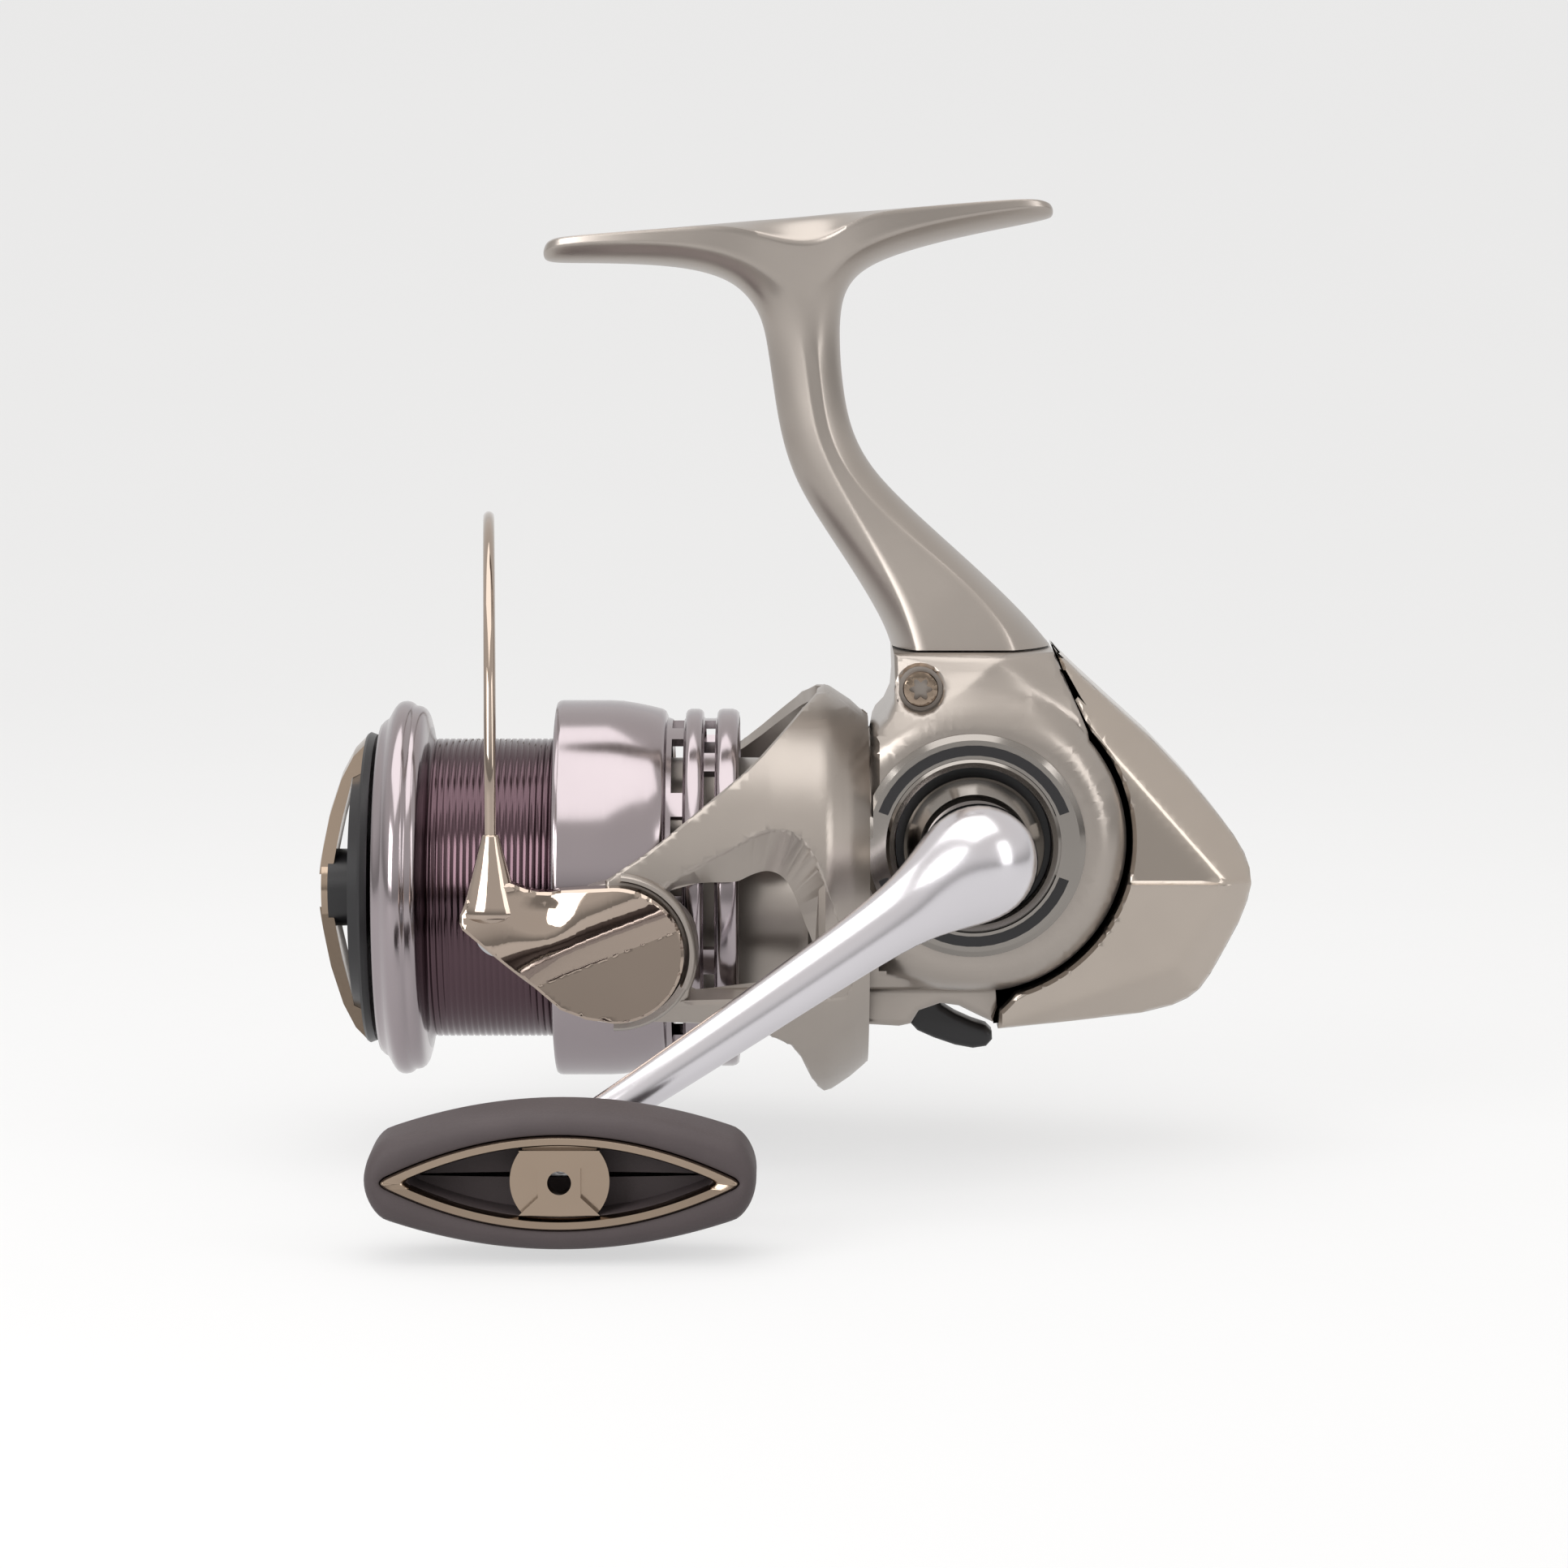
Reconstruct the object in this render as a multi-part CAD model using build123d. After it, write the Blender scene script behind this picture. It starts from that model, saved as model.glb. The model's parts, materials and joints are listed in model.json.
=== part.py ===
"""Spinning reel, 2500 size, left-hand handle.

Every piece is drawn about two working axes: the spool axis, which is the X axis,
and the drive axis, which runs along Y above it. -X is the front, where the line
leaves, +Z points to the rod, and -Y is the handle side. save() moves each piece
so that the origin is the middle of the foot's seat.
"""
from build123d import *
import os
from math import atan2, cos, degrees, radians, sin

# ---------------------------------------------------------------- driving sizes, mm
SEAT_X, SEAT_Z = -20.8, 81.2    # middle of the foot seat, from the working axes
SEAT_TILT = 4.8                 # the seat rises towards the rear, degrees
FOOT_LENGTH, FOOT_WIDTH = 61.5, 14.4

DRIVE_Z = 7.2                   # drive axis above the spool axis
STROKE = 7.0                    # spool travel each way from the middle

SPOOL_LIP_R = 22.7
ARBOR_R = 18.1
ARBOR_FRONT, ARBOR_REAR = -65.0, -50.0
SKIRT_R = 22.8
SKIRT_REAR = -27.8
SPOOL_BORE_R = 3.6
GROOVE_COUNT = 20
GROOVE_DEPTH = 0.14
WINDOW_COUNT = 10

SHAFT_R = 1.6                   # main shaft
SHAFT_FRONT, SHAFT_REAR = -76.2, 16.6
RUN = 0.08                      # radial clearance of a running fit

ROTOR_R = 24.8                  # widest ring of the rotor
CUP_R = 15.8
CUP_WALL = 1.8
PIVOT_X, PIVOT_Z = -42.0, -3.8  # bail pivots
HEAD_R = 9.2                    # round rotor arm heads
BAIL_DISC_R = 7.9
HEAD_FACE_Y = 28.6              # bottom of the recess that the bail disc turns in
DISC_FACE_Y = 31.6              # outer face of the bail disc

ROLLER_X, ROLLER_Z = -55.6, -1.6

WIRE_R = 0.68
WIRE_LOOP_R = 29.2
WIRE_X, WIRE_FOOT_Z = -58.15, 9.6   # middle of the loop's feet
WIRE_TOP_Z = 45.8
WIRE_SKEW = 3.2                 # the far foot stands further forward, degrees

GEAR_R = 13.0                   # drive gear over its teeth
GEAR_TEETH = 47
PINION_R = 4.2
PINION_TEETH = 9
GEAR_FACE_Y = 4.5               # tips of the face teeth
DRIVE_SHAFT_R = 3.5
OSC_X, OSC_Z = 13.8, 1.0        # oscillation gear axis
OSC_SMALL_TEETH = 14
OSC_LARGE_TEETH = 32
OSC_FACE = (-6.4, -3.6)         # both oscillation gears, along Y

BODY_Y = 13.0                   # flat sides of the housing
PARTING_Y = -8.5                # side cover joint
BOSS_R, BOSS_Y = 18.3, 16.4
COVER_EDGE_R = 18.6             # front edge of the rear cover, about the drive axis

RAIL_Z, RAIL_R, RAIL_REAR = -8.7, 1.1, 26.2
LEVER_PIVOT_Z = -11.6

HANDLE_R = 55.0                 # crank radius
HANDLE_DIP = 31.8               # the arm points forward and down by this, degrees
DOME_Y, DOME_R = -33.0, 6.9
ARM_END_Y = -50.0
KNOB_LENGTH, KNOB_HEIGHT = 42.6, 15.4
KNOB_BACK_Y, KNOB_FACE_Y = -61.0, -74.0
KNOB_DROP = 0.7                 # the T bar hangs this much below its bearing

KNOB_X = -HANDLE_R * cos(radians(HANDLE_DIP))
KNOB_Z = DRIVE_Z - HANDLE_R * sin(radians(HANDLE_DIP))
NEAR_FOOT_X = WIRE_X + WIRE_LOOP_R * sin(radians(WIRE_SKEW))
FAR_FOOT_X = WIRE_X - WIRE_LOOP_R * sin(radians(WIRE_SKEW))
WIRE_FOOT_Y = WIRE_LOOP_R * cos(radians(WIRE_SKEW))


# ---------------------------------------------------------------- drawing helpers
def save(node, shape):
    """Move the piece to the seat frame and write its own file."""
    moved = Pos(-SEAT_X, 0, -SEAT_Z) * shape
    export_step(moved, f"parts/{node}.step")


def rod_x(radius, x0, x1, y=0.0, z=0.0):
    """Round bar along X."""
    bar = Cylinder(radius, abs(x1 - x0), rotation=(0, 90, 0))
    return Pos((x0 + x1) / 2, y, z) * bar


def rod_y(radius, y0, y1, x=0.0, z=DRIVE_Z):
    """Round bar along Y."""
    bar = Cylinder(radius, abs(y1 - y0), rotation=(90, 0, 0))
    return Pos(x, (y0 + y1) / 2, z) * bar


def tube_x(outer, inner, x0, x1, y=0.0, z=0.0):
    return rod_x(outer, x0, x1, y, z) - rod_x(inner, x0 - 1, x1 + 1, y, z)


def tube_y(outer, inner, y0, y1, x=0.0, z=DRIVE_Z):
    low, high = min(y0, y1), max(y0, y1)
    return rod_y(outer, low, high, x, z) - rod_y(inner, low - 1, high + 1, x, z)


def box(x0, x1, y0, y1, z0, z1):
    """Block between its corner values."""
    centre = ((x0 + x1) / 2, (y0 + y1) / 2, (z0 + z1) / 2)
    return Pos(*centre) * Box(abs(x1 - x0), abs(y1 - y0), abs(z1 - z0))


def turned_x(points):
    """Turn a closed (x, radius) outline about the spool axis."""
    face = Polygon(*points, align=None)
    return revolve(face, Axis.X)


def turned_y(points, x=0.0, z=DRIVE_Z):
    """Turn a closed (y, radius) outline about an axis along Y."""
    face = Polygon(*points, align=None)
    return Pos(x, 0, z) * Rot(0, 0, 90) * revolve(face, Axis.X)


def side_face(face, y0, y1):
    """Give a side-view face, drawn as (X, Z), a thickness from y0 to y1."""
    low, high = min(y0, y1), max(y0, y1)
    return Pos(0, high, 0) * Rot(90, 0, 0) * extrude(face, high - low, dir=(0, 0, 1))


def plate(points, y0, y1):
    return side_face(Polygon(*points, align=None), y0, y1)


def circle_points(radius, count, start=0.0, stop=360.0):
    """Points on a circle about the drive axis, as (X, Z)."""
    steps = [start + (stop - start) * i / (count - 1) for i in range(count)]
    return [(radius * cos(radians(a)), DRIVE_Z + radius * sin(radians(a))) for a in steps]


def around_x(shape, count):
    """Copies of a shape, evenly spaced about the spool axis."""
    return [Rot(360.0 * i / count, 0, 0) * shape for i in range(count)]


def spur(radius, teeth, y0, y1, x, z, phase=0.0, depth=1.3):
    """Straight-toothed gear along Y, with trapezoid teeth."""
    pitch = 360.0 / teeth
    points = []
    for i in range(teeth):
        for share, r in ((-0.30, radius - depth), (-0.13, radius), (0.13, radius), (0.30, radius - depth)):
            a = radians(phase + (i + share) * pitch)
            points.append((x + r * cos(a), z + r * sin(a)))
    return plate(points, y0, y1)


def screw_y(x, y_head, z, length, head_r=2.1, shank_r=1.1, toward=1):
    """Socket-head screw along Y. Its head's outer face is at y_head."""
    head = rod_y(head_r, y_head, y_head + toward * 1.5, x, z)
    shank = rod_y(shank_r, y_head + toward * 1.5, y_head + toward * length, x, z)
    socket = spur(1.15, 6, y_head - toward, y_head + toward * 0.9, x, z, depth=0.35)
    return head + shank - socket


# ---------------------------------------------------------------- housing
SHELL_OUTLINE = [
    (-9.4, 29.6), (9.9, 29.6), (13.2, 26.6), (21.8, 18.8), (26.3, 14.0), (32.3, 6.5), (33.6, 3.0),
    (32.4, -3.0), (28.0, -10.9), (25.0, -13.1), (20.6, -14.3), (3.3, -15.6), (-10.4, -16.0),
    (-15.5, -14.0), (-15.5, 14.0), (-11.8, 20.2), (-9.3, 23.4),
]
CAVITY_OUTLINE = [
    (-7.2, 27.4), (8.6, 27.4), (15.5, 20.6), (24.0, 12.0), (29.2, 5.2), (29.9, 2.0), (28.9, -3.0),
    (25.0, -9.2), (23.6, -10.7), (19.9, -11.5), (3.0, -12.9), (-10.7, -13.1), (-10.7, 17.0), (-7.8, 21.5),
]
SCREW_TOP = (-6.2, 25.4)
SCREW_REAR = (20.0, 13.8)
SCREW_LOW = (1.0, -11.8)


def rotor_room():
    """Space that the turning rotor sweeps, with its clearance."""
    rim = tube_x(34, 19.5, -16.2, -11.9)
    front = tube_x(34, 11.4, -62, -15.9)
    return rim + front


def housing_block():
    """Outer form of the closed housing, bosses and front nose."""
    block = plate(SHELL_OUTLINE, -BODY_Y, BODY_Y)
    rims = block.edges().filter_by(lambda e: abs(abs(e.center().Y) - BODY_Y) < 0.01)
    block = chamfer(rims, 3.4, 3.4)
    boss = [(-BOSS_Y, 0), (-BOSS_Y, 15.6), (-BOSS_Y + 1.3, 17.3), (-11.0, BOSS_R), (11.0, BOSS_R),
            (BOSS_Y - 1.3, 17.3), (BOSS_Y, 15.6), (BOSS_Y, 0)]
    nose = rod_x(11.0, -26.5, -14.0)
    return block + turned_y(boss) + nose - rotor_room()


def rear_region():
    """Everything behind the front edge of the rear cover."""
    arc = circle_points(COVER_EDGE_R, 16, 40.0, -44.0)
    return plate([(9.9, 31.0)] + arc + [(5.2, -12.6), (1.0, -18.0), (40.0, -18.0), (40.0, 34.0), (10.0, 34.0)],
                 -20, 20)


def casing(block):
    """Walls of the housing, before it is split at the parting plane."""
    inner_outline = offset(Polygon(*SHELL_OUTLINE, align=None), -2.0)
    core = side_face(inner_outline, -BODY_Y + 2.2, BODY_Y - 2.2)
    skin = core + (block - rear_region())
    cavity = plate(CAVITY_OUTLINE, -9.6, 9.6) + rod_y(14.4, -11.4, 11.4) + rod_x(17.0, -14.0, -10.0)
    bearings = rod_y(5.5, -14.4, 14.4) + rod_y(4.4, -20, 20)
    cup = rod_y(9.2, -20, -15.2) + rod_y(9.2, 15.2, 20)
    nose_bores = rod_x(5.0, -16.0, -13.0) + rod_x(6.5, -19.0, -15.4) + rod_x(9.2, -30, -19.0)
    return skin - rotor_room() - cavity - bearings - cup - nose_bores


def screw_posts():
    """Posts inside the housing that the cover screws thread into."""
    posts = None
    for x, z in (SCREW_TOP, SCREW_REAR, SCREW_LOW):
        post = rod_y(2.5, PARTING_Y, 10.0, x, z)
        posts = post if posts is None else posts + post
    return posts


def stem():
    """Leg between housing and foot, narrow at the top and wide at the housing."""
    stations = [
        (75.5, -24.5, -14.2, 4.6), (71.0, -24.9, -16.0, 4.0), (64.0, -24.0, -15.7, 3.8),
        (56.0, -23.0, -14.5, 4.0), (50.0, -21.3, -10.6, 4.7), (44.6, -18.1, -5.0, 5.9),
        (38.0, -13.8, 2.0, 7.6), (31.5, -9.6, 8.4, 9.0), (27.0, -8.4, 11.0, 9.4),
    ]
    sections = []
    for z, front, rear, half in stations:
        width = rear - front
        corner = min(half, width / 2) * 0.86
        sections.append(Pos((front + rear) / 2, 0, z) * RectangleRounded(width, 2 * half, corner))
    return loft(sections)


def foot():
    """Tapered foot with a flat seat, side scallops in the middle and chamfered ends."""
    half = FOOT_LENGTH / 2
    side = [(-half, -1.7), (-half + 1.6, -0.4), (-half + 3.2, 0), (half - 3.2, 0), (half - 1.6, -0.4),
            (half, -1.7), (half - 0.5, -2.6), (18.0, -4.2), (8.0, -7.2), (-3.0, -9.5), (-9.0, -7.8),
            (-18.0, -4.6), (-half + 0.5, -2.9)]
    body = plate(side, -FOOT_WIDTH / 2, FOOT_WIDTH / 2)
    plan = Polygon((-half, -4.6), (-half + 3, -6.0), (-9, -7.2), (-2, -6.2), (5, -7.2), (half - 3, -6.0),
                   (half, -4.6), (half, 4.6), (half - 3, 6.0), (5, 7.2), (-2, 6.2), (-9, 7.2),
                   (-half + 3, 6.0), (-half, 4.6), align=None)
    body = body & (Pos(0, 0, -12) * extrude(plan, 14, dir=(0, 0, 1)))
    keel = [(-7.4, 1), (7.4, 1), (7.4, -1.8), (5.6, -3.4), (3.6, -12), (-3.6, -12), (-5.6, -3.4), (-7.4, -1.8)]
    section = Pos(-40, 0, 0) * extrude(Plane.YZ * Polygon(*keel, align=None), 80, dir=(1, 0, 0))
    body = body & section
    for sign in (-1, 1):
        notch = Polygon((-7.6, 1.5), (0.4, -2.6), (1.6, -2.6), (8.6, 1.5), align=None)
        scallop = side_face(notch, 0, 12)
        scallop = Pos(0, 3.0, 0) * scallop
        body = body - (scallop if sign > 0 else mirror(scallop, Plane.XZ))
    return Pos(SEAT_X, 0, SEAT_Z) * Rot(0, -SEAT_TILT, 0) * body


def lever_slot():
    return box(-8.4, -3.4, -3.9, 3.9, -18.0, -12.0)


def body_frame(shell):
    """Housing casting with the far wall, the stem and the foot."""
    keep = box(-40, 50, PARTING_Y, 30, -40, 60)
    rail_front = box(-1.2, 2.0, -2.6, 10.0, -13.0, -6.9)
    lugs = box(-10.9, -8.6, -2.4, 2.4, -13.4, -9.6) + box(-3.2, -1.0, -2.6, 2.6, -13.4, -9.6)
    housing = (shell & keep) + (screw_posts() + rail_front) + lugs
    cuts = [rod_y(1.1, PARTING_Y - 1, 30, *SCREW_LOW), rod_y(2.3, 11.0, 30, *SCREW_LOW), lever_slot()]
    cuts += [rod_y(1.1, PARTING_Y - 1, -1.0, x, z) for x, z in (SCREW_TOP, SCREW_REAR)]
    cuts += around_x(rod_x(0.65, -30, -23.4, 9.9, 0), 3)
    cuts += [rod_x(RAIL_R, -0.4, RAIL_REAR, 0, RAIL_Z), rod_x(1.25, -10.0, -2.6, 0, LEVER_PIVOT_Z)]
    upper = stem() - box(-40, 50, -30, 30, 20, 29.6)
    return (housing - cuts) + (upper + foot())


def side_cover(shell):
    """Handle-side cover with its boss, cup and screw recess."""
    keep = box(-40, 50, -30, PARTING_Y, -40, 29.55)
    solid = shell & keep
    for (x, z), top in ((SCREW_TOP, -11.6), (SCREW_REAR, -10.7), (SCREW_LOW, -11.0)):
        solid = solid + rod_y(2.5, top, PARTING_Y, x, z)
    for (x, z), face in ((SCREW_TOP, -11.6), (SCREW_REAR, -9.2)):
        solid = solid - rod_y(2.7, -22, face, x, z) - rod_y(1.1, -22, 0, x, z)
    return solid - rod_y(1.1, -10.4, 0, *SCREW_LOW)


def rear_cover(block):
    """Thin cover that wraps the back of the housing."""
    inner_outline = offset(Polygon(*SHELL_OUTLINE, align=None), -2.0)
    inner = side_face(inner_outline, -BODY_Y + 2.2, BODY_Y - 2.2)
    shape = (block & rear_region()) - inner
    gap = tube_y(COVER_EDGE_R + 0.4, COVER_EDGE_R - 2, -30, 30)
    return shape - gap - rod_y(BOSS_R + 0.1, -30, 30) - rod_x(1.3, 24, 40, 0, 9.0)


def screw_group():
    """Three cover screws: two enter from the handle side, the low one from the far side."""
    top = screw_y(SCREW_TOP[0], -13.1, SCREW_TOP[1], 11.0)
    rear = screw_y(SCREW_REAR[0], -10.7, SCREW_REAR[1], 9.0)
    low = screw_y(SCREW_LOW[0], 12.5, SCREW_LOW[1], 22.0, toward=-1)
    return Compound([top.solid(), rear.solid(), low.solid()])


# ---------------------------------------------------------------- drive train
def cap_ring(side):
    """Trim ring round the drive shaft, one on each side. The near one carries two inlays."""
    points = [(16.4, 9.4), (16.4, 13.3), (17.2, 13.3), (17.7, 12.6), (17.7, 10.4), (18.1, 10.0), (17.9, 9.4)]
    ring = turned_y([(side * y, r) for y, r in points]) - rotor_room()
    return ring - inlay_pair() if side < 0 else ring


def inlay(start, stop):
    """Half-ring groove filler on the near cap ring."""
    outer = circle_points(12.0, 20, start, stop)
    inner = circle_points(10.8, 20, stop, start)
    return plate(outer + inner, -17.8, -17.2)


def inlay_pair():
    return [inlay(20.0, 160.0), inlay(200.0, 340.0)]


def ball_bearing_y(outer, inner, y0, y1, x=0.0, z=DRIVE_Z):
    """Shielded ball bearing along Y, with its two races stepped."""
    face = 0.25
    ring = tube_y(outer, inner, y0, y1, x, z)
    step = (outer - inner) * 0.28
    groove = tube_y(outer - step, inner + step, y0 - 1, y0 + face, x, z)
    back = tube_y(outer - step, inner + step, y1 - face, y1 + 1, x, z)
    return ring - groove - back


def ball_bearing_x(outer, inner, x0, x1):
    """Shielded ball bearing along the spool axis."""
    face = 0.25
    step = (outer - inner) * 0.28
    ring = tube_x(outer, inner, x0, x1)
    front = tube_x(outer - step, inner + step, x0 - 1, x0 + face)
    rear = tube_x(outer - step, inner + step, x1 - face, x1 + 1)
    return ring - front - rear


def drive_gear():
    """Face gear beside the pinion, pressed on the drive shaft."""
    disc = turned_y([(5.6, DRIVE_SHAFT_R), (5.6, GEAR_R), (7.4, GEAR_R), (8.0, GEAR_R - 1.2), (8.0, 7.0),
                     (10.4, 6.2), (10.4, DRIVE_SHAFT_R)])
    pitch = 360.0 / GEAR_TEETH
    teeth = []
    for i in range(GEAR_TEETH):
        a0, a1 = radians((i - 0.22) * pitch), radians((i + 0.22) * pitch)
        lean = radians(5.0)
        inner_r, outer_r = 9.4, GEAR_R
        points = [(outer_r * cos(a0 + lean), outer_r * sin(a0 + lean)),
                  (outer_r * cos(a1 + lean), outer_r * sin(a1 + lean)),
                  (inner_r * cos(a1), inner_r * sin(a1)), (inner_r * cos(a0), inner_r * sin(a0))]
        teeth.append(Pos(0, 0, DRIVE_Z) * plate(points, GEAR_FACE_Y, 5.7))
    holes = [Pos(0, 0, DRIVE_Z) * Rot(0, 60.0 * i, 0) * rod_y(1.2, 2, 9, 7.8, 0) for i in range(6)]
    return disc + teeth - holes


def drive_shaft():
    """Hollow shaft through the housing, with a shoulder inside each bearing."""
    shape = rod_y(DRIVE_SHAFT_R, -15.0, 15.0) - rod_y(2.2, -20, 20)
    return shape


def pinion():
    """Pinion with its long sleeve: gear teeth behind, flats and thread in front."""
    helix = spur(PINION_R, PINION_TEETH, -11.2, -5.8, 0, 0, depth=1.2)
    teeth = Rot(0, 0, -90) * helix
    sleeve = rod_x(3.4, -20.0, -11.2) + rod_x(2.9, -36.2, -20.0) + rod_x(2.3, -5.8, -3.4)
    flats = box(-40, -28, 2.3, 5, -5, 5) + box(-40, -28, -5, -2.3, -5, 5)
    return (teeth + sleeve) - flats - rod_x(SHAFT_R + RUN, -60, 10)


def one_way_clutch():
    """Cage of the roller clutch, seated in the housing nose, with its roller pockets."""
    ring = tube_x(9.1, 5.2, -25.2, -19.2)
    pockets = around_x(rod_x(0.95, -24.2, -20.2, 6.1, 0), 8)
    return ring - pockets


def clutch_rollers():
    return Compound([r.solid() for r in around_x(rod_x(0.85, -24.0, -20.4, 6.1, 0), 8)])


def clutch_retainer():
    """Ring that closes the nose."""
    ring = tube_x(10.9, 5.4, -28.0, -26.5)
    holes = around_x(rod_x(0.7, -30, -20, 9.9, 0), 3)
    return ring - holes


def clutch_screws():
    screw = rod_x(1.0, -28.7, -28.0, 9.9, 0) + rod_x(0.65, -28.0, -23.6, 9.9, 0)
    return Compound([s.solid() for s in around_x(screw, 3)])


def oscillation_small():
    """Small gear on the drive shaft that turns the oscillation gear."""
    radius = 4.6 + 0.55
    gear = spur(radius, OSC_SMALL_TEETH, *OSC_FACE, 0, DRIVE_Z, osc_phase(), depth=1.2)
    return gear - rod_y(DRIVE_SHAFT_R, -10, 0)


def osc_phase():
    """Angle of the line between the two gear axes, where a small-gear gap faces a tooth."""
    return degrees(atan2(OSC_Z - DRIVE_Z, OSC_X))


def oscillation_gear():
    """Large gear with the drive pin that pushes the slider back and forth."""
    radius = 10.5 + 0.45
    mesh = osc_phase() + 180.0 + 180.0 / OSC_LARGE_TEETH
    gear = spur(radius, OSC_LARGE_TEETH, *OSC_FACE, OSC_X, OSC_Z, mesh, depth=1.2)
    pin = rod_y(1.2, -4.0, -3.0, OSC_X, OSC_Z - STROKE)
    hub = rod_y(3.0, -8.2, -6.4, OSC_X, OSC_Z)
    return gear + pin + hub - rod_y(1.5 + RUN, -12, 0, OSC_X, OSC_Z)


def oscillation_axle():
    """Fixed pin that carries the oscillation gear, held in the side cover wall."""
    return rod_y(1.5, -9.6, -3.7, OSC_X, OSC_Z)


# ---------------------------------------------------------------- oscillation and main shaft
def slider():
    """Block on the end of the main shaft, with the slot that the drive pin works in."""
    block = box(11.0, 16.6, -2.6, 2.6, -7.0, 9.0) + box(12.2, 15.4, -2.6, 2.6, -10.4, -7.0)
    slot = box(12.5, 15.1, -4.0, -1.9, -6.6, 8.4)
    return block - slot - rod_x(SHAFT_R, 0, 20) - rod_x(RAIL_R + RUN, 0, 20, 0, RAIL_Z)


def main_shaft():
    """Steel shaft with a flat at the front for the drag nut and click gear."""
    shaft = rod_x(SHAFT_R, SHAFT_REAR, SHAFT_FRONT)
    flat = box(SHAFT_FRONT - 1, -62.0, 1.15, 3, -3, 3)
    return shaft - flat


def slider_screw():
    """Screw that holds the slider on the end of the shaft."""
    return rod_x(2.4, 16.6, 17.5) - rod_x(0.9, 17.0, 19)


def slider_rail():
    return rod_x(RAIL_R, -0.4, RAIL_REAR, 0, RAIL_Z)


def click_gear():
    """Toothed wheel on the shaft that the spool's click spring runs over."""
    wheel = Rot(0, 0, -90) * spur(6.4, 24, -47.6, -46.2, 0, 0, depth=0.9)
    return wheel - rod_x(SHAFT_R, -60, -40)


def spool_post():
    """Collar on the shaft that carries the spool's bearings and stops its washers."""
    return tube_x(2.6, SHAFT_R, -62.0, -47.6)


# ---------------------------------------------------------------- spool
def groove_points():
    """Arbor line with its fine turned grooves, from front to rear."""
    pitch = (ARBOR_REAR - ARBOR_FRONT) / GROOVE_COUNT
    points = []
    for i in range(GROOVE_COUNT):
        x = ARBOR_FRONT + i * pitch
        points.append((x + 0.30 * pitch, ARBOR_R))
        points.append((x + 0.50 * pitch, ARBOR_R - GROOVE_DEPTH))
        points.append((x + 0.70 * pitch, ARBOR_R))
    return points


def spool():
    """One-piece spool: lip, arbor, ported skirt, web, hub and drag pocket."""
    lip = [(-71.3, 19.2), (-71.3, 20.4), (-70.5, 21.6), (-69.3, 22.5), (-68.3, SPOOL_LIP_R), (-67.4, 22.5),
           (-66.6, 21.6), (-65.5, 20.2), (-65.0, ARBOR_R)]
    skirt = [(ARBOR_REAR, ARBOR_R), (ARBOR_REAR, 22.4), (-49.6, SKIRT_R), (-43.0, SKIRT_R), (-40.3, 22.45),
             (-37.3, 21.8), (-36.4, 21.2), (-36.0, 20.5), (-34.4, 20.5), (-34.4, 21.3), (-33.9, 21.7),
             (-32.7, 21.7), (-32.1, 21.3), (-32.1, 20.6), (-30.6, 20.6), (-30.6, 21.3), (-30.0, 21.7),
             (-28.4, 21.7), (SKIRT_REAR, 21.3), (SKIRT_REAR, 19.6)]
    inside = [(-36.6, 19.4), (-38.5, 20.6), (-48.4, 21.2), (-48.4, 17.0)]
    outer = lip + groove_points() + skirt + inside
    wall = outer + [(-59.0, 16.4), (-61.2, 15.2), (-66.6, 15.2), (-66.6, 17.2), (-70.6, 17.6)]
    shell = turned_x(wall)
    web = tube_x(17.0, SPOOL_BORE_R, -51.0, -48.4)
    floor = tube_x(16.6, SPOOL_BORE_R, -61.2, -59.6)
    tube = tube_x(5.4, SPOOL_BORE_R, -60.0, -50.0)
    body = shell + web + floor + tube
    windows = []
    for x0, x1, shift in ((-35.9, -34.5, 0.0), (-32.0, -30.7, 18.0)):
        port = box(x0, x1, -5.2, 5.2, 15.0, 24.0)
        windows += [Rot(shift, 0, 0) * w for w in around_x(port, WINDOW_COUNT)]
    rim_holes = around_x(rod_x(1.6, -52, -47, 10.5, 0), 6)
    return body - windows - rim_holes


def spool_bushings():
    """Two flanged bushes between spool and post."""
    front = tube_x(SPOOL_BORE_R, 2.6 + RUN, -61.2, -58.2)
    rear = tube_x(SPOOL_BORE_R, 2.6 + RUN, -52.0, -48.4)
    return Compound([front.solid(), rear.solid()])


def drag_washers():
    """Stack in the spool's pocket: fibre washers between metal ones."""
    stack = []
    x = -61.2
    for index, thick in enumerate((0.9, 0.7, 0.9, 0.7, 0.9)):
        radius = 14.6 if index % 2 == 0 else 14.0
        stack.append(tube_x(radius, 3.4, x - thick, x).solid())
        x -= thick + 0.02
    return Compound(stack)


def drag_clip():
    """Spring wire ring that holds the drag washers in the pocket."""
    ring = tube_x(15.1, 13.9, -66.4, -65.6)
    return ring - box(-70, -60, -2.0, 2.0, 8, 20)


def click_spring():
    """Small pawl and spring under the spool."""
    pawl = box(-47.9, -46.9, -1.0, 1.0, 6.9, 9.4)
    post = rod_x(1.2, -48.4, -46.7, 0, 9.6)
    return pawl + post


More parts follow.
